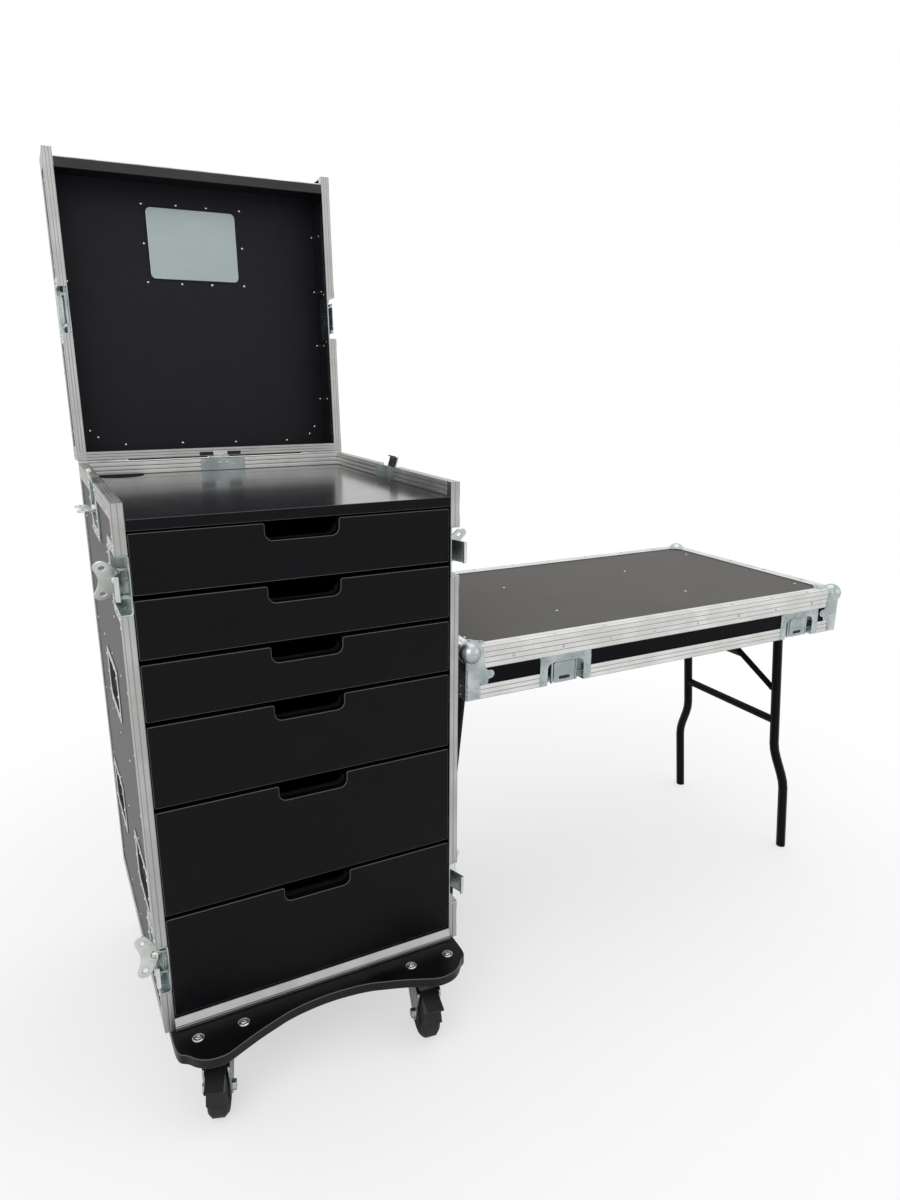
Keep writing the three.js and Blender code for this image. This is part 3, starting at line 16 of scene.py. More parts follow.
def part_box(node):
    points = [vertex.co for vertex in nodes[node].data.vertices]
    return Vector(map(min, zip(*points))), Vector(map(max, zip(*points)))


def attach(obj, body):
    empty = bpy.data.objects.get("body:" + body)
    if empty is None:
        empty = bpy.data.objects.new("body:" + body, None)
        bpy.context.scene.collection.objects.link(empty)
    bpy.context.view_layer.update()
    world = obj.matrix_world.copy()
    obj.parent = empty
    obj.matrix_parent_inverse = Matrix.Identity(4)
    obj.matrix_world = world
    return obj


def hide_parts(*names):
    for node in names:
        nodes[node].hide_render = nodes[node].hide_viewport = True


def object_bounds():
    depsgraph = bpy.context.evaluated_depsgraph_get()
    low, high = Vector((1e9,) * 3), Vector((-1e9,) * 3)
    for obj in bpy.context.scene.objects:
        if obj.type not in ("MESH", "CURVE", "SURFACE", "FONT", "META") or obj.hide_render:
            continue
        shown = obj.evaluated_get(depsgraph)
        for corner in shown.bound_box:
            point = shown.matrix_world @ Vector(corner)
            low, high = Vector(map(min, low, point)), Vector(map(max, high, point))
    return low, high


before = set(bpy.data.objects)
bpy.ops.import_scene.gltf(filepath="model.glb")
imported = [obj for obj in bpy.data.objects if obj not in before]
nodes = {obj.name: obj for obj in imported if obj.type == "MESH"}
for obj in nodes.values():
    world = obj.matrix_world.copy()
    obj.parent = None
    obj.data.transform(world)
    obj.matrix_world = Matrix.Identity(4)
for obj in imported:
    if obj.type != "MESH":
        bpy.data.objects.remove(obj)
cad_box = [list(corner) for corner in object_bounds()]
print("CAD nodes:", len(nodes))

# %% [markdown]
# ## Where things are
# All places are worked out from the boxes of the CAD nodes, so a piece lands where the CAD says.
# Lengths in millimetres are easier to read for sheet metal, so `MM` turns them into metres. Names that
# start with `T_` are places on the cover, which stands beside the case as a table.

# %% Places on the case and the table
MM = 0.001
X, Y, Z = np.eye(3)
HALF, DEPTH, HEIGHT = 300, 622, 974
SHELL = 110
SKIN = 2.1
BALL_PROUD = 6
LATCH_RISES = (133.5, 843.5)
edging_low, edging_high = (np.array(corner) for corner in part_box("case_edging"))
LEFT, RIGHT = edging_low[0], edging_high[0]
FRONT, BOTTOM = edging_low[1], edging_low[2]
BACK = FRONT + DEPTH * MM
TOP = BOTTOM + HEIGHT * MM
MIDDLE = (LEFT + RIGHT) / 2
HINGE = np.array([MIDDLE, BACK + 4 * MM, TOP + 0.3 * MM])
cover_low, cover_high = (np.array(corner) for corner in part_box("cover_edging"))
T_LEFT, T_RIGHT = cover_low[0] + BALL_PROUD * MM, cover_high[0] - BALL_PROUD * MM
T_RIM = cover_low[2]
T_TOP = T_RIM + SHELL * MM
tray_low, tray_high = (np.array(corner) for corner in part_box("cover_tray"))
T_FRONT, T_BACK = tray_low[1] - SKIN * MM, tray_high[1] + SKIN * MM
print("case width", round(RIGHT - LEFT, 4))
print("table", round(T_RIGHT - T_LEFT, 4), round(T_BACK - T_FRONT, 4), round(T_TOP, 4))

# %% [markdown]
# ## Camera
# The camera was solved from the straight edges of the case in the photograph, so that the case as a box
# lands on them. It comes first because every comparison with the photograph depends on it.

# %% Camera
camera = bpy.data.objects.new("camera", bpy.data.cameras.new("camera"))
bpy.context.scene.collection.objects.link(camera)
camera.data.lens = 24.88
camera.data.sensor_width = 36
camera.data.clip_end = 50
yaw, pitch, roll = (math.radians(a) for a in (27.397, 15.513, 0.283))
turn = Matrix.Rotation(-yaw, 4, "Z") @ Matrix.Rotation(math.pi / 2 - pitch, 4, "X")
turn = turn @ Matrix.Rotation(roll, 4, "Z")
camera.matrix_world = Matrix.Translation((-0.97047, -1.66824, 1.3318)) @ turn
bpy.context.scene.camera = camera
bpy.context.scene.view_settings.view_transform = "Standard"
print("camera at", tuple(round(v, 3) for v in camera.location))

# %% [markdown]
# ## Shader maths as expressions
# A finish is easier to read as `grain * 0.12 + 0.3` than as a chain of linked nodes. One small class wraps
# a socket, so that arithmetic on it adds the Math nodes, and another holds the material.

# %% A socket with arithmetic
class Wire:
    """One output of a shader node. Arithmetic on it adds Math nodes."""

    def __init__(self, finish, socket):
        self.finish, self.socket = finish, socket

    def _math(self, operation, first, second):
        return self.finish.add("ShaderNodeMath", {"operation": operation}, {0: first, 1: second})

    def __add__(self, other):
        return self._math("ADD", self, other)

    def __sub__(self, other):
        return self._math("SUBTRACT", self, other)

    def __rsub__(self, other):
        return self._math("SUBTRACT", other, self)

    def __mul__(self, other):
        return self._math("MULTIPLY", self, other)

    def above(self, edge, width):
        """0 below the edge and 1 above it, with a soft step of the given width."""
        return self.finish.add("ShaderNodeMapRange", {"interpolation_type": "SMOOTHSTEP"},
                               {"Value": self, "From Min": edge - width, "From Max": edge + width})


print("socket arithmetic ready")

# %% A material with short ways to add nodes
class Finish:
    """A material with one Principled shader, and short ways to add nodes to it."""

    def __init__(self, name, **values):
        self.material = bpy.data.materials.new(name)
        self.material.use_nodes = True
        self.tree = self.material.node_tree
        self.shader = self.tree.nodes["Principled BSDF"]
        self.set(self.shader, values)

    def set(self, node, values):
        """Links or writes each value into the socket of that name. An underscore stands for a space."""
        for key, value in values.items():
            socket = node.inputs[key.replace("_", " ") if isinstance(key, str) else key]
            if isinstance(value, Wire):
                self.tree.links.new(value.socket, socket)
            elif isinstance(value, tuple) and len(value) == 3 and len(socket.default_value) == 4:
                socket.default_value = (*value, 1)
            else:
                socket.default_value = value

    def add(self, kind, settings=None, values=None, output=0):
        """A new node of a kind. Its settings are made before its sockets get their values."""
        node = self.tree.nodes.new(kind)
        for key, value in (settings or {}).items():
            setattr(node, key, value)
        self.set(node, values or {})
        return Wire(self, node.outputs[output])

    def place(self, scale=(1, 1, 1)):
        """Object coordinates, stretched so that a pattern can run along one axis."""
        raw = self.add("ShaderNodeTexCoord", output="Object")
        return self.add("ShaderNodeMapping", {}, {"Vector": raw, "Scale": scale})

    def noise(self, where, scale, detail=3.0, roughness=0.5):
        values = {"Vector": where, "Scale": scale, "Detail": detail, "Roughness": roughness}
        return self.add("ShaderNodeTexNoise", {}, values)

    def mark(self):
        """The number that the mesh carries with each point."""
        return self.add("ShaderNodeAttribute", {"attribute_name": "mark"}, output="Fac")

    def mix(self, share, first, second):
        """The first colour where the share is 0 and the second where it is 1."""
        node = self.tree.nodes.new("ShaderNodeMix")
        node.data_type = "RGBA"
        self.set(node, {0: share, 6: first, 7: second})
        return Wire(self, node.outputs[2])

    def shade(self, **values):
        self.set(self.shader, values)

    def relief(self, height, depth):
        """Bumps of the given depth in metres, from a height between 0 and 1."""
        bump = self.add("ShaderNodeBump", {}, {"Height": height, "Distance": depth, "Strength": 1.0})
        self.shade(Normal=bump)


print("material helper ready")

# %% [markdown]
# ## Light and floor
# The picture is a cut-out on white. The world and the floor are white to the camera and in reflections,
# while the light that falls on the case stays moderate, so that pale metal doesn't clip.

# %% World
SOFT_LIGHT = 0.8
world = bpy.data.worlds.new("studio")
bpy.context.scene.world = world
world.use_nodes = True
tree = world.node_tree
path = tree.nodes.new("ShaderNodeLightPath")
soft = tree.nodes["Background"]
white = tree.nodes.new("ShaderNodeBackground")
for background, strength in ((soft, SOFT_LIGHT), (white, 1)):
    background.inputs["Color"].default_value = (1, 1, 1, 1)
    background.inputs["Strength"].default_value = strength
either, seen = (tree.nodes.new("ShaderNodeMath") for _ in range(2))
either.operation = seen.operation = "MAXIMUM"
blend = tree.nodes.new("ShaderNodeMixShader")
tree.links.new(path.outputs["Is Camera Ray"], either.inputs[0])
tree.links.new(path.outputs["Is Glossy Ray"], either.inputs[1])
tree.links.new(either.outputs[0], seen.inputs[0])
tree.links.new(path.outputs["Is Transmission Ray"], seen.inputs[1])
tree.links.new(seen.outputs[0], blend.inputs[0])
tree.links.new(soft.outputs[0], blend.inputs[1])
tree.links.new(white.outputs[0], blend.inputs[2])
tree.links.new(blend.outputs[0], tree.nodes["World Output"].inputs["Surface"])
print("soft light:", SOFT_LIGHT)

# %% Lamps
def lamp(name, place, target, size, watts):
    """A square area lamp that faces the target point."""
    data = bpy.data.lights.new(name, "AREA")
    data.size, data.energy = size, watts
    thing = bpy.data.objects.new(name, data)
    bpy.context.scene.collection.objects.link(thing)
    facing = (Vector(place) - Vector(target)).to_track_quat("Z", "Y")
    thing.matrix_world = Matrix.Translation(place) @ facing.to_matrix().to_4x4()
    return thing


lamps = [
    lamp("window", (-2.4, -2.4, 3.0), (-0.3, 0, 0.7), size=2.4, watts=30),
    lamp("ceiling", (0.6, 0.4, 3.6), (0.2, 0, 0.5), size=3.0, watts=20),
    lamp("room", (2.6, -2.2, 1.6), (0.2, 0, 0.6), size=2.0, watts=8),
]
print("lamps:", len(lamps))

# %% [markdown]
# The floor is a large sheet of white paper. Near the case the camera sees it 45 percent lit as any surface
# and 55 percent plain white, so it keeps a weaker shadow. Towards the edge of the picture it turns fully
# into plain white, so that no horizon shows.

# %% Floor
REACH = 30
floor_mesh = bpy.data.meshes.new("floor")
floor_corners = [(-REACH, -REACH, 0), (REACH, -REACH, 0), (REACH, REACH, 0), (-REACH, REACH, 0)]
floor_mesh.from_pydata(floor_corners, [], [(0, 1, 2, 3)])
floor = bpy.data.objects.new("floor", floor_mesh)
bpy.context.scene.collection.objects.link(floor)
paper = Finish("paper", Roughness=0.9)
paper.shade(Base_Color=paper.mix(paper.noise(paper.place(), 3.0), (0.94, 0.94, 0.94), (0.97, 0.97, 0.97)))
bare = paper.add("ShaderNodeEmission", {}, {"Color": (1.0, 1.0, 1.0), "Strength": 1.0})
distance = paper.add("ShaderNodeVectorMath", {"operation": "LENGTH"}, {0: paper.place()}, "Value")
away = distance.above(1.5, 0.45)
watched = paper.add("ShaderNodeLightPath", output="Is Camera Ray")
lit = Wire(paper, paper.shader.outputs[0])
both = paper.add("ShaderNodeMixShader", {}, {0: (away * 0.45 + 0.55) * watched, 1: lit, 2: bare})
paper.tree.links.new(both.socket, paper.tree.nodes["Material Output"].inputs["Surface"])
floor.data.materials.append(paper.material)
print("floor reaches", REACH, "m")

# %% [markdown]
# ## Metals
# Every finish is a small recipe on Object coordinates, and none of them is one flat colour. Zinc plate
# and steel wander between two values in soft blotches, in colour and in polish. The edging is mill
# aluminium. Its mesh marks the crests of its ribs, so that the grooves between them can take a painted
# shade.

# %% Metals
def metal(name, colour, dark, roughness, spread, scale):
    """A metal whose colour and polish wander between two values in soft blotches."""
    finish = Finish(name, Metallic=1.0)
    where = finish.place()
    blotch = finish.noise(where, scale, 4.0)
    fine = finish.noise(where, scale * 9, 2.0)
    finish.shade(Base_Color=finish.mix(blotch.above(0.5, 0.25), dark, colour),
                 Roughness=blotch * spread + fine * spread * 0.5 + (roughness - spread * 0.75))
    finish.relief(fine, 0.00004)
    return finish.material


def ribbed_metal(name, tone_factor):
    """The aluminium of the edging, scaled darker by a factor. Its grooves, where the mark is 0, are painted
    dark as shade.
    """
    finish = Finish(name, Metallic=1.0)
    blotch = finish.noise(finish.place(), 14, 4.0)
    fine = finish.noise(finish.place(), 126, 2.0)
    crest = finish.mark()
    dull = tuple(part * tone_factor for part in (0.60, 0.60, 0.585))
    bright = tuple(part * tone_factor for part in (0.76, 0.76, 0.745))
    land_colour = finish.mix(blotch.above(0.5, 0.25), dull, bright)
    # Painted shade: the grooves, where the mark is 0, get a fixed dark grey for the shade that falls into
    # them.
    finish.shade(Base_Color=finish.mix(crest, (0.29, 0.29, 0.28), land_colour),
                 Roughness=blotch * 0.16 + fine * 0.08 + (0.42 - crest * 0.16))
    finish.relief(fine, 0.00004)
    return finish.material


ribbed = ribbed_metal("ribbed aluminium", tone_factor=1.0)
# A darker copy of the same aluminium, used for the case and the lid.
darker_ribbed = ribbed_metal("darker ribbed aluminium", tone_factor=0.66)
bright_zinc = metal("bright zinc", (0.78, 0.80, 0.77), (0.55, 0.58, 0.56), 0.24, 0.14, 26)
zinc = metal("zinc plate", (0.56, 0.605, 0.605), (0.31, 0.355, 0.36), 0.25, 0.18, 22)
steel = metal("bright steel", (0.72, 0.71, 0.68), (0.46, 0.45, 0.43), 0.24, 0.12, 60)
print("metals:", 5)

# %% Brushed zinc of the label plate
def brushed_plate():
    """Fine horizontal brush lines: noise squeezed hard along one axis."""
    finish = Finish("brushed zinc", Metallic=1.0)
    lines = finish.noise(finish.place((1, 60, 60)), 14, 4.0, 0.7)
    cloud = finish.noise(finish.place(), 6, 3.0)
    colour = finish.mix(lines * 0.6 + cloud * 0.4, (0.26, 0.31, 0.315), (0.46, 0.52, 0.525))
    finish.shade(Base_Color=colour, Roughness=lines * 0.2 + 0.3)
    finish.relief(lines, 0.00003)
    return finish.material


brushed = brushed_plate()
print("brushed plate:", brushed.name)

# %% [markdown]
# ## Laminates
# The laminate on the panels has a fine pressed grain. Under soft light it looks grey at a shallow angle,
# which comes from a fairly rough surface. The drawer fronts are smoother and darker, with faint smears,
# and the worktop is smooth enough to mirror what stands on it.

# %% Laminates
def laminate(name, dark, light, roughness, grain_scale, depth, stretch=(1, 1, 1), smear=0.0, mirror=0.5,
             coat=0.0):
    """A dark board: stretched noise for the grain and a large soft noise for the smears."""
    finish = Finish(name, Specular_IOR_Level=mirror, Coat_Weight=coat, Coat_Roughness=0.1)
    grain = finish.noise(finish.place(stretch), grain_scale, 5.0, 0.65)
    cloud = finish.noise(finish.place(), 4.5, 3.0)
    spots = finish.noise(finish.place(), 17, 2.0)
    finish.shade(Base_Color=finish.mix(grain * 0.7 + cloud * 0.3, dark, light),
                 Roughness=grain * 0.12 + (roughness - 0.06) - spots.above(0.62, 0.08) * smear)
    finish.relief(grain, depth)
    return finish.material


panel = laminate("panel laminate", (0.022, 0.021, 0.021), (0.050, 0.048, 0.046), roughness=0.50,
                 grain_scale=260, depth=0.00012)
inner_panel = laminate("inner laminate", (0.008, 0.008, 0.0105), (0.016, 0.016, 0.0215), roughness=0.46,
                       grain_scale=40, depth=0.00002, smear=0.05, mirror=0.14)
worktop_board = laminate("worktop laminate", (0.005, 0.005, 0.008), (0.010, 0.010, 0.014), roughness=0.19,
                         grain_scale=12, depth=0.000002, stretch=(1.5, 30, 1), smear=0.03, mirror=0.7,
                         coat=0.3)
wood_edge = laminate("stained wood edge", (0.010, 0.009, 0.009), (0.062, 0.061, 0.060), roughness=0.55,
                     grain_scale=22, depth=0.0002, stretch=(1, 26, 26), mirror=0.2)
print("laminates:", 4)

# %% Laminate of the table
def table_board():
    """Painted light on one laminate: the top face is painted grey as sheen, the glossy sides under the rim
    near black as shade.
    """
    finish = Finish("table laminate with painted sheen", Specular_IOR_Level=0.05)
    grain = finish.noise(finish.place(), 260, 5.0, 0.65)
    cloud = finish.noise(finish.place(), 5, 3.0)
    level = finish.add("ShaderNodeSeparateXYZ", {}, {"Vector": finish.place()}, "Z")
    # Painted sheen above this level and painted shade below it: grey on the top face, near black on the
    # sides.
    top = level.above(T_TOP - 3 * MM, 0.5 * MM)
    grey = finish.mix(grain * 0.6 + cloud * 0.4, (0.080, 0.077, 0.074), (0.148, 0.144, 0.139))
    side = finish.mix(grain, (0.002, 0.002, 0.003), (0.005, 0.005, 0.007))
    finish.shade(Base_Color=finish.mix(top, side, grey), Roughness=top * 0.3 + grain * 0.1 + 0.22)
    finish.relief(grain, 0.0001)
    return finish.material


table_panel_painted_sheen = table_board()
print("table panel:", table_panel_painted_sheen.name)

# %% Boards with routed rims
def rimmed_board(name, mirror, roughness):
    """Near-black board with faint smears. Its rounded rims, where the mark is 1, carry a painted highlight
    in light grey.
    """
    finish = Finish(name, Specular_IOR_Level=mirror)
    grain = finish.noise(finish.place(), 30, 5.0, 0.65)
    cloud = finish.noise(finish.place(), 5, 3.0)
    smear = finish.noise(finish.place((1, 1, 2.5)), 9, 4.0).above(0.60, 0.07)
    face = finish.mix(grain * 0.6 + cloud * 0.4, (0.0015, 0.0015, 0.0022), (0.0052, 0.0052, 0.0066))
    # Painted highlight: where the mark is 1, on the rounded rims, the colour turns light grey.
    finish.shade(Base_Color=finish.mix(finish.mark(), face, (0.15, 0.15, 0.155)),
                 Roughness=grain * 0.12 + roughness - smear * 0.10)
    finish.relief(grain, 0.00001)
    return finish.material


front_board = rimmed_board("drawer laminate", mirror=0.10, roughness=0.36)
board_paint = rimmed_board("black dolly paint", mirror=0.25, roughness=0.26)
print("rimmed boards:", 2)

# %% [markdown]
# ## Black parts
# The table's legs are powder coated and the wheels and grips are rubber. Both are nearly black, so what
# tells them apart is how sharply they mirror the room and how coarse their speckle is.

# %% Black parts
def black(name, colour, roughness, speckle_scale, depth, mirror=0.28):
    """A black coat or rubber with a fine speckle and slow clouds of a lighter black."""
    finish = Finish(name, Specular_IOR_Level=mirror)
    speckle = finish.noise(finish.place(), speckle_scale, 3.0)
    cloud = finish.noise(finish.place(), speckle_scale / 12, 2.0)
    paler = tuple(part * 2.2 for part in colour)
    finish.shade(Base_Color=finish.mix(cloud, colour, paler), Roughness=speckle * 0.15 + roughness)
    finish.relief(speckle, depth)
    return finish.material


powder = black("black powder coat", (0.003, 0.003, 0.0032), 0.30, 700, 0.00006, mirror=0.06)
rubber = black("black rubber", (0.012, 0.012, 0.012), 0.62, 400, 0.0001)
plastic = black("black plastic", (0.008, 0.008, 0.008), 0.34, 500, 0.00005)
inside_board = black("black film plywood", (0.007, 0.007, 0.007), 0.5, 300, 0.00005)
print("black parts:", 4)

# %% [markdown]
# ## Finishes on the CAD nodes
# Most solids keep their CAD shape and only get a finish. The large panels are named one by one. The parts
# that come in several copies, such as latches and wheels, are found by the end of their name.

# %% Finishes on the CAD nodes
by_name = {
    "right_wall": panel, "left_wall": panel, "back_wall": panel,
    "case_floor": inside_board, "worktop": worktop_board, "dolly_board": board_paint,
    "case_edging": zinc, "lid_edging": zinc, "cover_edging": zinc,
    "lid_shell": inner_panel, "cover_tray": table_panel_painted_sheen,
}
by_ending = {
    "_front": front_board, "_box": inside_board, "_wing": bright_zinc, "_hook": bright_zinc,
    "_bail": rubber, "_fork": zinc, "_wheel": rubber, "_pedal": plastic, "_frame": powder, "_stay": powder,
}
for name, node in nodes.items():
    kinds = [by_name[name]] if name in by_name else [m for end, m in by_ending.items() if name.endswith(end)]
    node.data.materials.clear()
    node.data.materials.append(kinds[0])
print("dressed CAD nodes:", len(nodes))

# %% [markdown]
# ## From points to a piece
# Every shape below is worked out as arrays of points and lists of faces. One function turns them into a
# Blender object, with its faces outwards, its finish and the CAD body that it rides on.

# %% Pieces
def piece(name, points, faces, finish, body, slot, smooth=False):
    """Puts points and faces into a mesh whose normals face outwards, and hangs it on a body.
    Points are kept inside the CAD box, so that ribs and rivets at its limits don't enlarge the object.
    Where points have a fourth column, it becomes the attribute that the finishes read as their mark."""
    mesh = bpy.data.meshes.new(name)
    points = np.asarray(points).reshape(-1, np.shape(points)[-1])
    mesh.from_pydata(np.clip(points[:, :3], *cad_box).tolist(), [], faces)
    if points.shape[1] == 4:
        mesh.attributes.new("mark", "FLOAT", "POINT").data.foreach_set("value", points[:, 3])
    cleaned = bmesh.new()
    cleaned.from_mesh(mesh)
    bmesh.ops.recalc_face_normals(cleaned, faces=cleaned.faces)
    cleaned.to_mesh(mesh)
    cleaned.free()
    if smooth:
        mesh.shade_smooth()
    mesh.materials.append(finish)
    thing = bpy.data.objects.new(name, mesh)
    bpy.context.scene.collection.objects.link(thing)
    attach(thing, body)
    return thing


def ring_faces(rings, sides):
    """Quads between neighbouring rings of points, and one face on each end."""
    i, j = np.meshgrid(np.arange(rings - 1), np.arange(sides), indexing="ij")
    near, far = i * sides, (i + 1) * sides
    following = (j + 1) % sides
    quads = np.stack([near + j, near + following, far + following, far + j], -1).reshape(-1, 4).tolist()
    return quads + [list(range(sides))[::-1], list(range((rings - 1) * sides, rings * sides))]


def gather(parts):
    """Joins several (points, faces) pairs into one pair."""
    points, faces, count = [], [], 0
    for some_points, some_faces in parts:
        flat = np.asarray(some_points).reshape(-1, np.shape(some_points)[-1])
        points.append(flat)
        faces += [[k + count for k in face] for face in some_faces]
        count += len(flat)
    return np.concatenate(points), faces


print("piece helpers ready")

# %% [markdown]
# ## Small builders
# Four shapes make nearly all of the hardware: a ribbed band, a domed rivet, a flat plate with rounded
# rims, and a profile or wire carried round an axis or along a path. The ribs could be a bump in the
# finish, but then the edging would keep a flat outline wherever it is seen from its end. So they are mesh.

# %% Ribbed bands
RIB, GROOVE, SLOPE, ROOT = 0.7 * MM, 0.7 * MM, 1.0 * MM, 0.4 * MM
VALLEY_SHARE, SHOULDER_SHARE = 0.2, 0.95


def strip(start, end, across, out, width, lands, mitre=(0, 0), depth=RIB):
    """A ribbed band of edging. Across its width lie flat lands with a groove between each pair and a slope
    on both sides of it. The height is depth on a land and a share of it in a groove. The back of the band
    lies a little inside the CAD face. A fourth value with each point, the mark, is 0 in the grooves and 1
    on the lands."""
    start, end, across, out = (np.asarray(v, float) for v in (start, end, across, out))
    foot, knee = GROOVE / 2 / width, (GROOVE / 2 + SLOPE) / width
    starts = np.linspace(0, 1, lands + 1)[:-1, None]
    pattern = np.array([0, foot, knee, 0.5 / lands, 1 / lands - knee, 1 / lands - foot])
    share = np.concatenate([(starts + pattern).ravel(), [1.0, 1.0, 0.0]])
    land = [VALLEY_SHARE, VALLEY_SHARE, SHOULDER_SHARE, 1.0, SHOULDER_SHARE, VALLEY_SHARE]
    rise = np.concatenate([np.tile(land, lands), [VALLEY_SHARE]]) * depth
    height = np.concatenate([rise, [-ROOT, -ROOT]])
    crest = np.concatenate([np.tile([0, 0, 1, 1, 1, 0], lands), [0, 0, 0]])
    along = (end - start) / np.linalg.norm(end - start)
    flat = share[:, None] * width * across + height[:, None] * out
    first = start + flat + (mitre[0] * share * width)[:, None] * along
    last = end + flat - (mitre[1] * share * width)[:, None] * along
    points = np.stack([first, last])
    return np.concatenate([points, np.tile(crest, (2, 1))[..., None]], -1), ring_faces(2, len(share))


print("ribbed bands ready")

# %% [markdown]
# Hundreds of rivets hold the case together. All heads of one group are made in a single step from arrays,
# which is faster than an object for each, and ten sides are enough for a head of about 9 mm.

# %% Rivet heads
EDGE_RIVET, DISH_RIVET, PANEL_RIVET, DOT = 4.3 * MM, 4.2 * MM, 4.0 * MM, 3.4 * MM
STRIP_RIVET, STAY_RIVET, RUNNER_RIVET = 3.0 * MM, 2.8 * MM, 2.6 * MM
HEAD_HEIGHT, LOW_HEAD, HEAD_SINK = 2.2 * MM, 2.0 * MM, 0.3 * MM


def domes(places, normals, radius=EDGE_RIVET, height=HEAD_HEIGHT, sides=10):
    """Rivet heads. Each is a low dome: radius times the sine of the angle from its top, by height times
    the cosine of it. Its foot is sunk a little, so that no gap shows below it."""
    places = np.asarray(places, float).reshape(-1, 3)
    normals = np.asarray(normals, float).reshape(-1, 3)
    helper = np.where(np.abs(normals[:, 2:3]) < 0.9, [Z], [X])
    side = np.cross(helper, normals)
    side /= np.linalg.norm(side, axis=1, keepdims=True)
    up = np.cross(normals, side)
    polar = np.radians([90, 60, 25])
    angle = np.linspace(0, 2 * np.pi, sides, endpoint=False)
    across = radius * np.sin(polar)[:, None] * np.ones(sides)
    lift = (height * np.cos(polar) - np.array([HEAD_SINK, 0, 0]))[:, None] * np.ones(sides)
    local = np.stack([across * np.cos(angle), across * np.sin(angle), lift], -1).reshape(-1, 3)
    points = (places[:, None] + local[None, :, :1] * side[:, None] + local[None, :, 1:2] * up[:, None]
              + local[None, :, 2:] * normals[:, None])
    faces = np.array([face for face in ring_faces(len(polar), sides) if len(face) == 4])
    caps = np.array([list(range(sides))[::-1], list(range(2 * sides, 3 * sides))])
    shift = (np.arange(len(places)) * len(polar) * sides)[:, None, None]
    return points, (faces + shift).reshape(-1, 4).tolist() + (caps + shift).reshape(-1, sides).tolist()


def rivets_on(places, normal, *size):
    """Rivet heads at several places of one flat face."""
    return domes(places, np.tile(np.asarray(normal, float), (len(places), 1)), *size)


def rivet_line(start, end, normal, count, *size):
    """Evenly spaced rivets between two points, both included."""
    share = np.linspace(0, 1, count)[:, None]
    return rivets_on(np.asarray(start) + share * (np.asarray(end) - np.asarray(start)), normal, *size)


print("rivet heads ready")

# %% [markdown]
# A stamped sheet has rims that are rounded by the press. A curve in Blender can fill an outline, cut holes
# in it and bevel its rims in one go, so each sheet starts as a curve and is then turned into a mesh.

# %% Flat plates and their outlines
def plate(outlines, thickness, bevel, origin, u, v):
    """A flat plate with rounded rims, drawn by closed outlines in u and v. Inner outlines become holes."""
    curve = bpy.data.curves.new("plate", "CURVE")
    curve.dimensions, curve.fill_mode = "2D", "BOTH"
    curve.extrude, curve.bevel_depth, curve.bevel_resolution = thickness / 2 - bevel, bevel, 1
    curve.offset = -bevel
    for outline in outlines:
        spline = curve.splines.new("POLY")
        spline.points.add(len(outline) - 1)
        flat = np.column_stack([outline, np.zeros(len(outline)), np.ones(len(outline))])
        spline.points.foreach_set("co", flat.ravel())
        spline.use_cyclic_u = True
    holder = bpy.data.objects.new("plate", curve)
    bpy.context.scene.collection.objects.link(holder)
    mesh = bpy.data.meshes.new_from_object(holder.evaluated_get(bpy.context.evaluated_depsgraph_get()))
    bpy.data.objects.remove(holder)
    flat = np.empty(len(mesh.vertices) * 3)
    mesh.vertices.foreach_get("co", flat)
    flat = flat.reshape(-1, 3)
    faces = [list(polygon.vertices) for polygon in mesh.polygons]
    bpy.data.meshes.remove(mesh)
    origin, u, v = (np.asarray(a, float) for a in (origin, u, v))
    basis = np.stack([u, v, np.cross(u, v)])
    return origin + flat @ basis, faces


def rim_highlight_plate(outline, thickness, bevel, origin, u, v):
    """A plate whose points halfway round its rounded rims have the mark 1, where the finish paints a
    highlight.
    """
    points, faces = plate([outline], thickness, bevel, origin, u, v)
    into = thickness / 2 - np.abs((points - origin) @ np.cross(u, v))
    mark = (into > 0.1 * bevel) & (into < 0.8 * bevel)
    return np.column_stack([points, mark]), faces


def circle(x, y, radius, steps=20, start=0.0, end=360.0):
    """Points on a circle or, where start and end are given, on an arc."""
    whole = abs(end - start) >= 360
    angle = np.radians(np.linspace(start, end, steps, endpoint=not whole))
    return np.column_stack([x + radius * np.cos(angle), y + radius * np.sin(angle)])


def rounded(x0, x1, y0, y1, radius, steps=5):
    """A rectangle whose corners are arcs."""
    left, right, low, high = x0 + radius, x1 - radius, y0 + radius, y1 - radius
    return np.concatenate([
        circle(left, low, radius, steps, 180, 270), circle(right, low, radius, steps, 270, 359.9),
        circle(right, high, radius, steps, 0, 90), circle(left, high, radius, steps, 90, 180)])


print("plates ready")

# %% [markdown]
# Grips, balls and bolts are round, so a profile and an axis describe them. Grommets, posts and the lips
# of dishes are as thick as wire everywhere. Both kinds are rings of points, joined by the same faces.

# %% Turned parts and wires
def lathe(profile, origin, axis, sides=24):
    """A profile of (radius, height) pairs carried round an axis. Both of its ends are closed."""
    axis = np.asarray(axis, float) / np.linalg.norm(axis)
    helper = X if abs(axis[0]) < 0.9 else Y
    side = np.cross(helper, axis)
    side /= np.linalg.norm(side)
    up = np.cross(axis, side)
    angle = np.linspace(0, 2 * np.pi, sides, endpoint=False)
    radius, height = (column[:, None, None] for column in np.array(profile, float).T * MM)
    ring = np.cos(angle)[:, None] * side + np.sin(angle)[:, None] * up
    return np.asarray(origin) + radius * ring + height * axis, ring_faces(len(profile), sides)


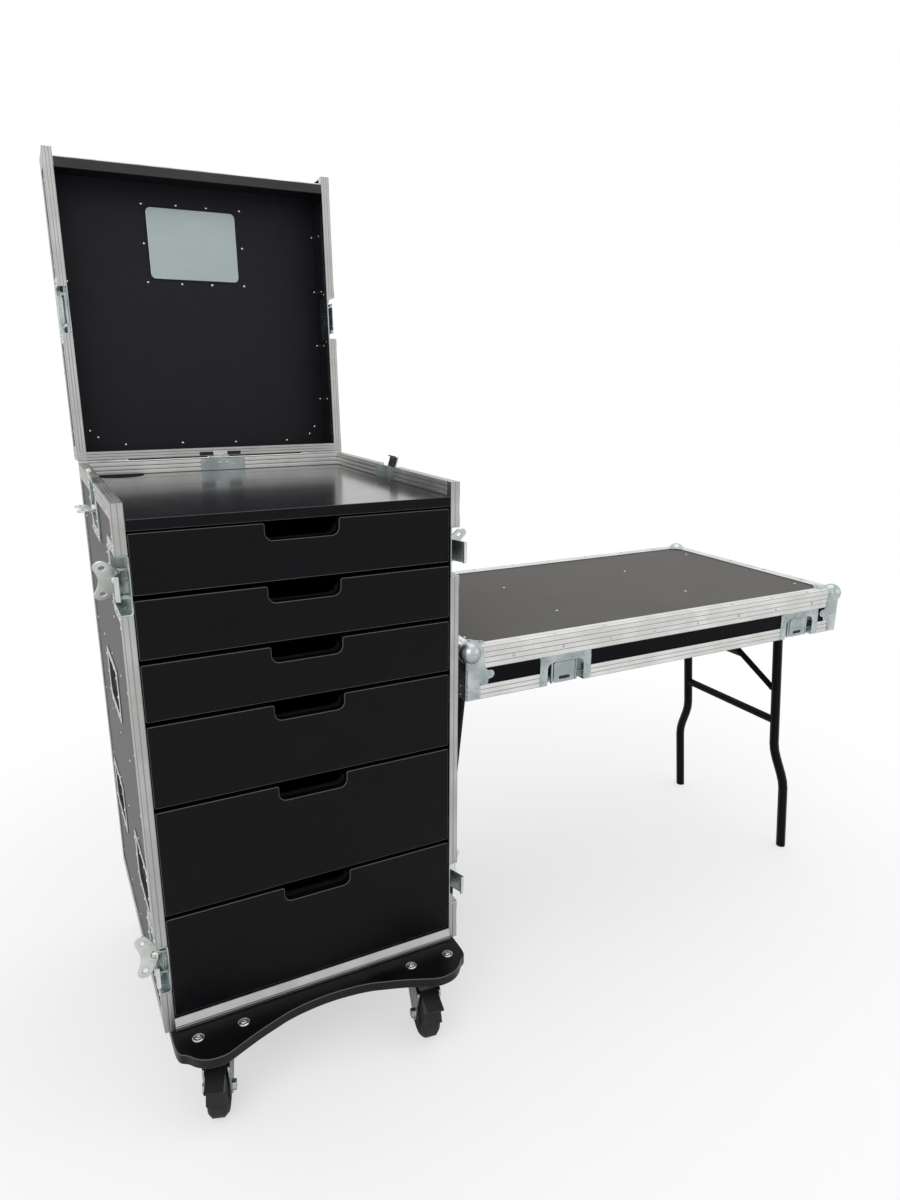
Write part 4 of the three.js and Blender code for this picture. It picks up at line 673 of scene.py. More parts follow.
def wire(path, radius, normal, sides=8):
    """A round wire along a flat path whose plane has the given normal."""
    path, normal = np.asarray(path, float), np.asarray(normal, float)
    along = np.gradient(path, axis=0)
    along /= np.linalg.norm(along, axis=1, keepdims=True)
    across = np.cross(along, normal)
    angle = np.linspace(0, 2 * np.pi, sides, endpoint=False)
    ring = np.cos(angle)[None, :, None] * normal + np.sin(angle)[None, :, None] * across[:, None]
    return path[:, None] + radius * ring, ring_faces(len(path), sides)


print("turned parts ready")

# %% [markdown]
# The same kind of dish sits on the front edge, on the top edge and on the table, each time turned another
# way. A seat remembers where it is and which way is out, so every dish can be drawn lying flat.

# %% Places in millimetres
def at(x, y, z):
    """A point given in millimetres from the middle of the case's front bottom edge on the floor."""
    return np.array([MIDDLE + x * MM, FRONT + y * MM, z * MM])


class Seat:
    """A place for hardware: x runs along the edge, y away from it and z out of the face, in millimetres."""

    def __init__(self, origin, inward, out, turn=0.0):
        self.origin, self.z = np.asarray(origin, float), np.asarray(out, float)
        x, y = np.cross(inward, out), np.asarray(inward, float)
        cosine, sine = math.cos(math.radians(turn)), math.sin(math.radians(turn))
        self.x, self.y = cosine * x + sine * y, cosine * y - sine * x

    def point(self, x, y, z):
        return self.origin + MM * (x * self.x + y * self.y + z * self.z)

    def plate(self, outlines, thickness, bevel, height=0.0):
        scaled = [np.asarray(outline) * MM for outline in outlines]
        return plate(scaled, thickness * MM, bevel * MM, self.point(0, 0, height), self.x, self.y)

    def rivets(self, places, height=0.0, radius=DISH_RIVET):
        return rivets_on([self.point(x, y, height) for x, y in places], self.z, radius)


print("seats ready")

# %% [markdown]
# ## Ribbed edging of the case
# The real edging is an aluminium extrusion with fine ribs. Each face of it gets a band that stands a
# fraction of a millimetre proud of the CAD profile and stops where a latch dish interrupts it. Below the
# lowest drawer the edging slopes to the front. It catches the light there, so it gets its own section.

# %% Edging of the case
BAND, RIM, INNER_BAND = 30 * MM, 18 * MM, 27 * MM
FLANGE, MOUTH = 66 * MM, 48 * MM
MATING, INNER_RELIEF = 0.25 * MM, 0.9 * MM
LATCH_DEPTH = 311
LOWER, UPPER = (BOTTOM + rise * MM for rise in LATCH_RISES)
LID_LATCH = FRONT + LATCH_DEPTH * MM


def stretches(low, high, middles, half):
    """The parts of a length that are left between the given interruptions."""
    cuts = [low] + [edge for middle in middles for edge in (middle - half, middle + half)] + [high]
    return list(zip(cuts[0::2], cuts[1::2]))


case_bands, inner_bands = [], []
for x, inward in ((LEFT, X), (RIGHT, -X)):
    out = -inward
    for low, high in stretches(BOTTOM, TOP, [LOWER, UPPER], FLANGE):
        case_bands.append(strip((x, FRONT, low), (x, FRONT, high), Y, out, BAND, 3))
    for low, high in stretches(BOTTOM, TOP, [LOWER, UPPER], MOUTH):
        case_bands.append(strip((x, FRONT, low), (x, FRONT, high), inward, -Y, RIM, 2))
    for low, high in stretches(FRONT, BACK, [LID_LATCH], FLANGE):
        case_bands.append(strip((x, low, TOP), (x, high, TOP), -Z, out, BAND, 3))
    for low, high in stretches(FRONT, BACK, [LID_LATCH], MOUTH):
        case_bands.append(strip((x, low, TOP), (x, high, TOP), inward, Z, RIM, 3, depth=MATING))
    case_bands += [strip((x, BACK, BOTTOM), (x, BACK, TOP), -Y, out, BAND, 3),
                   strip((x, BACK, BOTTOM), (x, BACK, TOP), inward, Y, BAND, 3),
                   strip((x, FRONT, BOTTOM), (x, BACK, BOTTOM), Z, out, BAND, 3)]
    inner = x + inward[0] * RIM
    for low, high in stretches(FRONT + RIM, BACK - RIM, [LID_LATCH], MOUTH):
        ends = (inner, low, TOP), (inner, high, TOP)
        inner_bands.append(strip(*ends, -Z, inward, INNER_BAND, 3, depth=INNER_RELIEF))
case_bands += [strip((LEFT, BACK, TOP), (RIGHT, BACK, TOP), -Z, Y, BAND, 3),
               strip((LEFT, BACK, TOP), (RIGHT, BACK, TOP), -Y, Z, RIM, 3, depth=MATING),
               strip((LEFT, BACK, BOTTOM), (RIGHT, BACK, BOTTOM), Z, Y, BAND, 3)]
ends = (LEFT + RIM, BACK - RIM, TOP), (RIGHT - RIM, BACK - RIM, TOP)
inner_bands.append(strip(*ends, -Z, -Y, INNER_BAND, 3, depth=INNER_RELIEF))
print("case bands:", len(case_bands) + len(inner_bands))

# %% Sill below the lowest drawer
# Each row is the height above the bottom and the distance in front, in millimetres, and the mark
sill = np.array([[25, 0, 0], [25, 0.5, 0], [24, 0.5, 1], [11, 7, 1], [9.6, 7, 0], [8.8, 7, 0], [7.8, 7.6, 1],
                 [2, 7.6, 1], [0.5, 6.6, 1], [0, 0, 0]])
ends = [[x, FRONT, BOTTOM, 0] for x in (LEFT + RIM, RIGHT - RIM)]
section = np.column_stack([0 * sill[:, 0], -sill[:, 1] * MM, sill[:, 0] * MM, sill[:, 2]])
case_bands.append((np.array(ends)[:, None] + section, ring_faces(2, len(sill))))
piece("case_ribs", *gather(case_bands), darker_ribbed, "case", "aluminium")
piece("case_inner_ribs", *gather(inner_bands), ribbed, "case", "aluminium")
print("sill points:", len(sill))

# %% [markdown]
# ## Ribbed edging of the lid
# The lid stands open at rest, tilted by 93 degrees about its hinge. It is much easier to draw while it is
# shut, so all of its pieces are made that way and then swung open together.

# %% Pieces of the lid
OPEN = 93
LID_LEVEL = 1134.6
LID_BASE = TOP + 0.6 * MM
LID_TOP = LID_BASE + SHELL * MM


def opened(points):
    """Turns points of the shut lid about the hinge line. A fourth column stays as it is."""
    cosine, sine = math.cos(math.radians(-OPEN)), math.sin(math.radians(-OPEN))
    swing = np.array([[1, 0, 0], [0, cosine, -sine], [0, sine, cosine]])
    turned = np.array(points, float).reshape(-1, np.shape(points)[-1])
    turned[:, :3] = (turned[:, :3] - HINGE) @ swing.T + HINGE
    return turned


def lid_piece(name, parts, finish, slot, smooth=False):
    """A piece of the lid, gathered from parts that were made while it is shut."""
    points, faces = gather(parts)
    return piece(name, opened(points), faces, finish, "lid", slot, smooth)


print("the lid is open by", OPEN, "degrees")

# %% Edging of the lid
LID_RIM = 16 * MM
lid_bands = []
for x, inward in ((LEFT, X), (RIGHT, -X)):
    out = -inward
    for low, high in stretches(FRONT, BACK, [LID_LATCH], FLANGE):
        lid_bands.append(strip((x, low, LID_BASE), (x, high, LID_BASE), Z, out, BAND, 3))
    for low, high in stretches(FRONT, BACK, [LID_LATCH], MOUTH):
        lid_bands.append(strip((x, low, LID_BASE), (x, high, LID_BASE), inward, -Z, RIM, 3, depth=MATING))
    lid_bands += [strip((x, FRONT, LID_TOP), (x, BACK, LID_TOP), -Z, out, BAND, 3),
                  strip((x, FRONT, LID_TOP), (x, BACK, LID_TOP), inward, Z, BAND, 3),
                  strip((x, FRONT, LID_BASE), (x, FRONT, LID_TOP), Y, out, BAND, 3),
                  strip((x, BACK, LID_BASE), (x, BACK, LID_TOP), -Y, out, BAND, 3),
                  strip((x, FRONT, LID_BASE), (x, FRONT, LID_TOP), inward, -Y, LID_RIM, 2),
                  strip((x, BACK, LID_BASE), (x, BACK, LID_TOP), inward, Y, BAND, 3)]
lid_bands += [strip((LEFT, BACK, LID_BASE), (RIGHT, BACK, LID_BASE), Z, Y, BAND, 3),
              strip((LEFT, BACK, LID_BASE), (RIGHT, BACK, LID_BASE), -Y, -Z, RIM, 3, depth=MATING),
              strip((LEFT, BACK, LID_TOP), (RIGHT, BACK, LID_TOP), -Z, Y, BAND, 3),
              strip((LEFT, BACK, LID_TOP), (RIGHT, BACK, LID_TOP), -Y, Z, BAND, 3),
              strip((LEFT, FRONT, LID_TOP), (RIGHT, FRONT, LID_TOP), -Z, -Y, BAND, 3),
              strip((LEFT, FRONT, LID_TOP), (RIGHT, FRONT, LID_TOP), Y, Z, BAND, 3)]
lid_piece("lid_ribs", lid_bands, darker_ribbed, "aluminium")
print("lid bands:", len(lid_bands))

# %% [markdown]
# ## Ribbed edging of the cover
# The cover is the case's front while it travels, and a table here. Its upper band is taller than the
# others, and the bands round its top meet in mitres under the ball corners.

# %% Edging of the cover
TALL_BAND = 45 * MM
MITRED = (1, 1)
KEEPERS = [T_RIGHT - rise * MM for rise in reversed(LATCH_RISES)]
cover_bands = []
for y, inward in ((T_FRONT, Y), (T_BACK, -Y)):
    out = -inward
    cover_bands += [strip((T_LEFT, y, T_TOP), (T_RIGHT, y, T_TOP), -Z, out, TALL_BAND, 4),
                    strip((T_LEFT, y, T_TOP), (T_RIGHT, y, T_TOP), inward, Z, BAND, 2, MITRED)]
    for low, high in stretches(T_LEFT, T_RIGHT, KEEPERS, FLANGE):
        cover_bands.append(strip((low, y, T_RIM), (high, y, T_RIM), Z, out, BAND, 3))
    for low, high in stretches(T_LEFT, T_RIGHT, KEEPERS, MOUTH):
        cover_bands.append(strip((low, y, T_RIM), (high, y, T_RIM), inward, -Z, RIM, 3))
for x, inward in ((T_LEFT, X), (T_RIGHT, -X)):
    out = -inward
    cover_bands += [strip((x, T_FRONT, T_TOP), (x, T_BACK, T_TOP), -Z, out, TALL_BAND, 4),
                    strip((x, T_FRONT, T_TOP), (x, T_BACK, T_TOP), inward, Z, BAND, 2, MITRED),
                    strip((x, T_FRONT, T_RIM), (x, T_BACK, T_RIM), Z, out, BAND, 3),
                    strip((x, T_FRONT, T_RIM), (x, T_BACK, T_RIM), inward, -Z, RIM, 3, MITRED)]
piece("cover_ribs", *gather(cover_bands), ribbed, "cover", "aluminium")
print("cover bands:", len(cover_bands))

# %% [markdown]
# ## Stamped hardware
# Dishes, keepers, handles and corners are zinc-plated pressings. Each one is drawn as a plate with
# rounded rims over its CAD dish, with a ring of rivets around it, because that is how they are fixed.
# The stamped sheets and the rivet heads are collected in lists, and become pieces further down.

# %% Dishes and keepers
DISH_SHEET, DISH_BEVEL, DISH_LIFT = 1.6, 0.6, 0.5
LATCH_DISH, KEEPER_DISH = (106, 87), (66, 50)
LATCH_ROWS, KEEPER_ROWS = (12, 40, 68), (12, 34)
PULL_DEPTH, POST_DEPTH, POST_RADIUS = 5, 7, 3.2 * MM


def dish_outline(length, cavity):
    """A flange with round corners on its inner side and a notch for the mouth of the dish."""
    deep, far = cavity - 14, length - 14
    return np.concatenate([
        [(-65.5, 0), (-46.5, 0)], circle(-32.5, deep, 14, 6, 180, 90), circle(32.5, deep, 14, 6, 90, 0),
        [(46.5, 0), (65.5, 0)], circle(51.5, far, 14, 6, 0, 90), circle(-51.5, far, 14, 6, 90, 180)])


def dish_plate(seat, size, side_rows, sheets, heads):
    """Adds the flange of a dish to the sheets and the heads of its rivets to the heads."""
    length, cavity = size
    places = [(x, length - 8) for x in (-48, -17, 17, 48)] + [(x, y) for x in (-56, 56) for y in side_rows]
    sheets.append(seat.plate([dish_outline(length, cavity)], DISH_SHEET, DISH_BEVEL, DISH_LIFT))
    heads.append(seat.rivets(places, DISH_LIFT + DISH_SHEET / 2))


def keeper_pull(seat, sheets, shade_sheets):
    """The sprung plate inside a keeper, between two posts. A black sheet in the hook's slot is painted
    shade.
    """
    outline = rounded(-27, 27, 1, 47, 4)
    slot = rounded(-14, 14, 8, 15, 3)
    inner = Seat(seat.point(0, 0, -PULL_DEPTH), np.cross(seat.z, seat.x), seat.z)
    sheets.append(inner.plate([outline, slot], 2.0, 0.7))
    for x in (-31, 31):
        post = [seat.point(x, y, -POST_DEPTH) for y in (1, 8, 16, 24, 32, 40, 48)]
        sheets.append(wire(post, POST_RADIUS, seat.z))
    # Painted shade: a thin black sheet fills the slot.
    shade_sheets.append(inner.plate([slot], 1.0, 0.2, -0.4))


case_hardware, lid_hardware, cover_hardware = [], [], []
case_rivets, lid_rivets, cover_rivets = [], [], []
lid_slot_shades, cover_slot_shades = [], []
SIDES = (("left", -1), ("right", 1))
LATCH_LEVELS = (293.5, 1003.5)
LATCH_TURNS = (0, 32)
latch_seats = {}
for side, sign in SIDES:
    for level, rise, turn in zip(("lower", "upper"), LATCH_LEVELS, LATCH_TURNS):
        latch_seats[f"{level}_{side}"] = (at(sign * HALF, 0, rise), Y, sign * X, turn * sign)
    latch_seats[f"lid_{side}"] = (at(sign * HALF, LATCH_DEPTH, 1134), -Z, sign * X, 0)
for origin, inward, out, _ in latch_seats.values():
    dish_plate(Seat(origin, inward, out), LATCH_DISH, LATCH_ROWS, case_hardware, case_rivets)
for _, sign in SIDES:
    seat = Seat(at(sign * HALF, LATCH_DEPTH, LID_LEVEL), Z, sign * X)
    dish_plate(seat, KEEPER_DISH, KEEPER_ROWS, lid_hardware, lid_rivets)
    keeper_pull(seat, lid_hardware, lid_slot_shades)
for x in KEEPERS:
    for y, out in ((T_FRONT, -Y), (T_BACK, Y)):
        seat = Seat((x, y, T_RIM), Z, out)
        dish_plate(seat, KEEPER_DISH, KEEPER_ROWS, cover_hardware, cover_rivets)
        keeper_pull(seat, cover_hardware, cover_slot_shades)
# The black sheets in the keeper slots are painted shade.
lid_piece("lid_keeper_slot_shade", lid_slot_shades, rubber, "tyre")
piece("cover_keeper_slot_shade", *gather(cover_slot_shades), rubber, "cover", "tyre")
print("dishes and keepers:", len(latch_seats) + 6)

# %% [markdown]
# The bent rim of each latch dish ends on the front of the case, where it shows as a flat U of wire-like
# thickness. A wire along that path is enough, because only its outer side is ever seen.

# %% Lips of the dishes on the front
LIP_PROUD, LIP_RADIUS = 1.0, 1.5 * MM


def lip(sign, height):
    """The end of the dish's bent rim, a flat U that shows on the front of the case."""
    upper = np.concatenate([[(0, 47.5), (-5, 47.5)], circle(-13.5, 43.5, 4, 5, 90, 180)])
    path = np.concatenate([upper, upper[::-1] * (1, -1)])
    return wire([at(sign * (HALF + u), -LIP_PROUD, height + v) for u, v in path], LIP_RADIUS, Y)


for _, sign in SIDES:
    case_hardware += [lip(sign, height) for height in LATCH_LEVELS]
print("lips:", 4)

# %% [markdown]
# ## Handles
# Three sprung handles lie in dishes on each side of the case. The CAD has the bail and the dish. The scene
# adds the riveted flange and a rubber grip, which is thickest near its ends and its middle.

# %% Handle dishes and grips
HANDLE_FACE, FLANGE_LIFT = 299.4, 0.7
GRIP_DROP, GRIP_DEPTH = 6, 8.7
handle_places = [(LATCH_DEPTH, 735), (121, 417), (471, 417)]
flange = [rounded(-89, 89, -55, 55, 12), rounded(-71, 71, -42, 42, 14)]
flange_rivets = [(x, y) for x in (-80, 80) for y in (-38, 0, 38)]
flange_rivets += [(x, y) for y in (-49, 49) for x in (-50, 0, 50)]
grip_profile = [
    (5, -37), (6.3, -35), (6.7, -30), (6.4, -12), (6.7, 0), (6.4, 12), (6.7, 30), (6.3, 35), (5, 37)]
for side, sign in SIDES:
    for index, (y, z) in enumerate(handle_places, 1):
        seat = Seat(at(sign * HANDLE_FACE, y, z), Z, sign * X)
        case_hardware.append(seat.plate(flange, DISH_SHEET, DISH_BEVEL))
        case_rivets.append(seat.rivets(flange_rivets, FLANGE_LIFT))
        grip = lathe(grip_profile, seat.point(0, -GRIP_DROP, -GRIP_DEPTH), seat.x, 16)
        bail = f"{side}_handle_{index}_bail"
        piece(f"{side}_handle_{index}_grip", *grip, rubber, bail, "black_steel", smooth=True)
print("handles:", 2 * len(handle_places))

# %% [markdown]
# ## Rivets
# Rivets hold the edging to the boards, in rows with even gaps. On the black boards of the lid they stand
# out as bright dots, so those follow the photograph one by one.

# %% Rivets of the case
UPRIGHT_ROWS = (23, 599)
UPPER_ROW, LOWER_ROW = 1111, 183
RUNNER_ROWS = (226, 480, 640, 805, 915, 1030)
BOARD_FACE = 298
for _, sign in SIDES:
    x, out = sign * HALF, sign * X
    for low, high, count in ((190, 190, 1), (368, 930, 6), (1078, 1078, 1)):
        case_rivets += [rivet_line(at(x, y, low), at(x, y, high), out, count) for y in UPRIGHT_ROWS]
    for low, high in ((60, 235), (387, 580)):
        case_rivets.append(rivet_line(at(x, low, UPPER_ROW), at(x, high, UPPER_ROW), out, 3))
    case_rivets.append(rivet_line(at(x, 60, LOWER_ROW), at(x, 580, LOWER_ROW), out, 6))
    x = sign * BOARD_FACE
    for z in RUNNER_ROWS:
        case_rivets.append(rivet_line(at(x, 150, z), at(x, 560, z), out, 4, RUNNER_RIVET))
for z in (UPPER_ROW, LOWER_ROW):
    case_rivets.append(rivet_line(at(-270, DEPTH, z), at(270, DEPTH, z), Y, 6))
for x in (-277, 277):
    case_rivets.append(rivet_line(at(x, DEPTH, 260), at(x, DEPTH, 1030), Y, 7))
print("rivet groups of the case:", len(case_rivets))

# %% Rivets of the lid
INNER_FACE = LID_LEVEL + SHELL - SKIN - 9.5
LID_SKIN = LID_LEVEL + SHELL
HIGH_ROW, LOW_ROW = 1229, 1153
INNER_WALL = 288.4
panel_rivets = [
    (-278, 117), (-263, 561), (-247, 576), (-189, 594), (-61, 594), (65, 596), (193, 596), (254, 582),
    (268, 564), (287, 496), (286, 367), (286, 240), (286, 114), (-275, 241), (-277, 366), (-278, 492)]
label_rivets = [
    (-106, 70), (-31, 68), (36, 68), (112, 68), (-107, 153), (113, 150), (-106, 235), (-31, 236), (37, 235),
    (112, 234)]
wall_rivets = [
    (564, 1169), (497, 1187), (370, 1190), (244, 1190), (118, 1191), (253, 1174), (272, 1168), (272, 1144),
    (289, 1179), (326, 1177), (339, 1167), (339, 1150), (362, 1171)]
places = [at(x, y, INNER_FACE) for x, y in panel_rivets + label_rivets]
lid_rivets.append(rivets_on(places, -Z, DOT, LOW_HEAD))
for _, sign in SIDES:
    x, out = sign * HALF, sign * X
    lid_rivets += [
        rivets_on([at(sign * INNER_WALL, y, z) for y, z in wall_rivets], -out, DOT),
        rivet_line(at(x, 60, HIGH_ROW), at(x, 560, HIGH_ROW), out, 5),
        rivet_line(at(x, 60, LOW_ROW), at(x, 225, LOW_ROW), out, 2),
        rivet_line(at(x, 397, LOW_ROW), at(x, 560, LOW_ROW), out, 2)]
lid_rivets.append(rivet_line(at(-260, 0, HIGH_ROW), at(260, 0, HIGH_ROW), -Y, 5))
for y in (15, 607):
    lid_rivets.append(rivet_line(at(-260, y, LID_SKIN), at(260, y, LID_SKIN), Z, 5))
print("rivet groups of the lid:", len(lid_rivets))

# %% Rivets of the cover
SIDE_LEVEL, TOP_LEVEL, PANEL_LEVEL = 770 * MM, 796.8 * MM, 794.5
INSET, CORNER_REACH = 10 * MM, 110 * MM
front_rivets = (440, 563, 688, 812, 939, 1068, 1191, 1318)
top_rivets = (547, 675, 797, 918, 1052, 1185, 1308)
table_rivets = [(367, 99), (651, 414), (654, 180), (1045, 420), (1046, 181), (1352, 510), (1359, 112)]
for y, out in ((T_FRONT, -Y), (T_BACK, Y)):
    cover_rivets += [
        rivets_on([(MIDDLE + x * MM, y, SIDE_LEVEL) for x in front_rivets], out),
        rivets_on([(MIDDLE + x * MM, y - out[1] * INSET, TOP_LEVEL) for x in top_rivets], Z)]
for x, out in ((T_LEFT, -X), (T_RIGHT, X)):
    start = np.array([x, T_FRONT + CORNER_REACH, SIDE_LEVEL])
    end = np.array([x, T_BACK - CORNER_REACH, SIDE_LEVEL])
    up = (-out[0] * INSET, 0, TOP_LEVEL - SIDE_LEVEL)
    cover_rivets += [rivet_line(start, end, out, 4), rivet_line(start + up, end + up, Z, 4)]
cover_rivets.append(rivets_on([at(x, y, PANEL_LEVEL) for x, y in table_rivets], Z, PANEL_RIVET))
print("rivet groups of the cover:", len(cover_rivets))

# %% [markdown]
# ## Ball corners of the cover
# A pressed ball guards each corner, so that cases can be stacked and dropped without crushing the edging.
# Three ears run from it over the faces. The ears on the upright faces hang low, with two rivet lobes, and
# a narrow strip below them covers the rest of the corner.

# %% Ball corners of the cover
BALL_RADIUS, BALL_SINK = 23.5, 12.5
EAR_LIFT, EAR_FACE, STRIP_LIFT, STRIP_FACE = 1.0, 1.8, 1.2, 1.9
TOP_LOBES, SIDE_LOBES = ((46, 30), (30, 46)), ((54, 59), (40, 73))


def top_ear():
    """A lobed ear on the top face. It leaves the ball slantwise and ends in two rivet lobes."""
    return np.concatenate([[(2, 2), (34, 2), (42, 16)], circle(46, 30, 9, 7, -60, 80), [(42, 42)],
                           circle(30, 46, 9, 7, 10, 150), [(16, 42), (2, 34)]])


def side_ear():
    """A lobed ear on an upright face. It hangs from the ball, so its rivet lobes lie lower."""
    return np.concatenate([[(1, 2), (38, 2), (40, 23), (42.5, 43), (47.5, 49.5)],
                           circle(54, 59, 9, 7, -75, 65), [(49, 69.5)], circle(40, 73, 9, 7, 15, 150),
                           [(29.5, 72), (1, 72)]])


def sheet_on(outline, corner, u, v, out, lift):
    """A stamped sheet drawn in u and v on the face that looks out. The outline is turned over where u, v
    and out are left-handed, so that the sheet always lies on the outer side."""
    if np.dot(np.cross(u, v), out) < 0:
        outline, u, v = outline[::-1, ::-1], v, u
    return plate([outline * MM], DISH_SHEET * MM, DISH_BEVEL * MM, corner + lift * MM * out, u, v)


polar = np.radians(np.linspace(4, 176, 20))
ball = np.column_stack([BALL_RADIUS * np.sin(polar), -BALL_RADIUS * np.cos(polar)])
for x, side in ((T_LEFT, X), (T_RIGHT, -X)):
    for y, deep in ((T_FRONT, Y), (T_BACK, -Y)):
        corner = np.array([x, y, T_TOP])
        cover_hardware.append(lathe(ball, corner + BALL_SINK * MM * (side + deep - Z), Z, 32))
        for u, v, out in ((side, -Z, -deep), (deep, -Z, -side), (side, deep, Z)):
            outline, lobes = (top_ear(), TOP_LOBES) if out[2] > 0 else (side_ear(), SIDE_LOBES)
            cover_hardware.append(sheet_on(outline, corner, u, v, out, EAR_LIFT))
            places = [corner + MM * (across * u + down * v + EAR_FACE * out) for across, down in lobes]
            cover_rivets.append(rivets_on(places, out, DOT))
        for u, out in ((side, -deep), (deep, -side)):
            cover_hardware.append(sheet_on(rounded(1, 31, 68, 109, 3), corner, u, -Z, out, STRIP_LIFT))
            places = [corner + MM * (23 * u - down * Z + STRIP_FACE * out) for down in (83, 101.5)]
            cover_rivets.append(rivets_on(places, out, STRIP_RIVET))
print("ball corners:", 4)

# %% [markdown]
# ## Small parts at the back of the lid
# The stay that stops the lid hides behind a plate on the back wall. Its bracket on the lid's mating face
# shows a bright tongue with a thin black sheet on each side, painted shade for the gaps there, all thin
# enough for the slit of the shut lid. A black rubber seal on each side of the stay keeps light from coming
# through that slit.

# %% Centre stay plate and the bracket above it
STAY_X, STAY_FACE, STAY_FOOT = 4, 603.4, 1107
stay = Seat(at(STAY_X, STAY_FACE, STAY_FOOT), Z, -Y)
case_hardware.append(stay.plate([rounded(-50, 50, 0.5, 26.9, 2)], 1.2, 0.5, 1.2))
case_rivets.append(stay.rivets([(-8, 17), (8, 17)], 1.8, STAY_RIVET))
bracket = Seat(at(STAY_X, DEPTH, LID_LEVEL), -Y, -Z)
# Painted shade: two thin black sheets stand for the gaps beside the tongue.
shade_sheets = [bracket.plate([rounded(a, b, 1, 9, 0.8)], 0.1, 0.03, 0.26) for a, b in ((-47, -16), (16, 47))]
lid_piece("lid_stay_gap_shades", shade_sheets, rubber, "tyre")
lid_hardware.append(bracket.plate([rounded(-16, 16, 0.5, 11, 1)], 0.1, 0.03, 0.27))
print("gaps beside the tongue:", len(shade_sheets))

# %% Seal between the lid and the case
SEAL_DEPTH, SEAL_FOOT = 623.75, 1134.8
seals = []
for low, high in ((-198, -25), (25, 198)):
    outline = rounded(low, high, 0, 10.2, 1) * MM
    seals.append(plate([outline], 3.5 * MM, 0.5 * MM, at(0, SEAL_DEPTH, SEAL_FOOT), X, Z))
lid_piece("lid_seal", seals, rubber, "tyre")
print("seals:", len(seals))

# %% [markdown]
# ## Label plate and wood edge
# A blank label plate of brushed zinc lies in a riveted dish in the lid. The front wall of the lid is set
# back behind the ends of its side walls. Its rim isn't wrapped in metal: the stained edge of the board
# shows, with a thin bright line above it where the edging begins.

# %% Label plate of the lid
half_width, half_height = 98.6, 75.6
label_outline = rounded(-half_width, half_width, -half_height, half_height, 10.6)
label = Seat(at(0, 152, INNER_FACE), Y, -Z).plate([label_outline], 5.8, 0.9, 2.7)
lid_piece("lid_label_plate", [label], brushed, "zinc_steel")
print("label plate:", 2 * half_width, "by", 2 * half_height, "mm")

# %% Wood edge of the lid
half_width, board = 281.5, 19
rim = Seat(at(0, 17.5, LID_LEVEL), Y, -Z).plate([rounded(-half_width, half_width, 0, board, 1)], 0.8, 0.2)
lid_piece("lid_wood_edge", [rim], wood_edge, "black_board")
print("wood edge:", 2 * half_width, "by", board, "mm")

# %% [markdown]
# ## Drawer fronts
# A router rounds the rims of each front and of its finger cut. That small radius, with a painted highlight
# along it, draws a thin light line along every top edge in the photograph, so the fronts replace their
# square CAD nodes.

# %% Drawer fronts
ROUTED = 1.3 * MM


def front_outline(half, high):
    """A front seen from outside, with its finger cut in the top edge."""
    shoulder, floor_level = high - 4, high - 16
    return np.concatenate([
        circle(-half + 2, 2, 2, 3, 180, 270), circle(half - 2, 2, 2, 3, 270, 359.9),
        circle(half - 2, high - 2, 2, 3, 0, 90), circle(69, shoulder, 4, 5, 90, 180),
        circle(51, floor_level, 14, 8, 0, -90), circle(-51, floor_level, 14, 8, 270, 180),
        circle(-69, shoulder, 4, 5, 0, 90), circle(-half + 2, high - 2, 2, 3, 90, 180)])


for i in range(1, 7):
    low, high = (np.array(corner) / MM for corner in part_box(f"drawer_{i}_front"))
    outline = front_outline((high[0] - low[0]) / 2, high[2] - low[2]) * MM
    origin = np.array([(low[0] + high[0]) / 2, (low[1] + high[1]) / 2, low[2]]) * MM
    front = rim_highlight_plate(outline, (high[1] - low[1]) * MM, ROUTED, origin, X, Z)
    board = piece(f"drawer_{i}_board", *front, front_board, f"drawer_{i}", "drawer_front")
    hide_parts(f"drawer_{i}_front")
print("drawer fronts:", 6)

# %% [markdown]
# ## Butterfly wings
# A wing is a pressed plate with two round lobes, each with a grommet hole, and a scooped outer side.
# It stands on a round head that turns in the dish.

# %% Wings
GROMMET_X, GROMMET_Z = 29, 18.7
HEAD = [(13.9, -4.8), (13.9, -3.2), (12.6, -1.9), (7, -1.2), (6.6, 4.2), (5.2, 5.2)]
SPINDLE = [(4.9, -15.6), (4.9, -4.5)]


def wing_outline():
    """Two lobes joined by a foot below and by a dip above, which follows a cosine."""
    across = np.linspace(22, -22, 11)
    dip = np.column_stack([across, 31.4 - 6.5 * np.cos(np.pi * across / 50)])
    return np.concatenate([
        [(9, -1.8), (22, -1.8)], circle(31, 20, 13, 10, -55, 105), dip, circle(-31, 20, 13, 10, 75, 235),
        [(-22, -1.8), (-9, -1.8)], circle(0, -1.8, 9, 9, 175, 5)])


for name, (origin, inward, out, turn) in latch_seats.items():
    seat = Seat(Seat(origin, inward, out).point(0, 52, 0), inward, out, turn)
    outlines = [wing_outline() * MM] + [circle(x, GROMMET_Z, 5) * MM for x in (-GROMMET_X, GROMMET_X)]
    parts = [plate(outlines, 2.6 * MM, 0.8 * MM, seat.origin, seat.x, seat.z),
             lathe(HEAD, seat.origin, seat.z, 28), lathe(SPINDLE, seat.origin, seat.z, 12)]
    for x in (-GROMMET_X, GROMMET_X):
        ring = [seat.point(a, 0, b) for a, b in circle(x, GROMMET_Z, 6.2, 17)]
        parts.append(wire(ring, 1.5 * MM, seat.y))
    wing = piece(f"{name}_butterfly", *gather(parts), bright_zinc, f"{name}_latch_wing", "zinc_steel")
    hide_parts(f"{name}_latch_wing")
print("wings:", len(latch_seats))

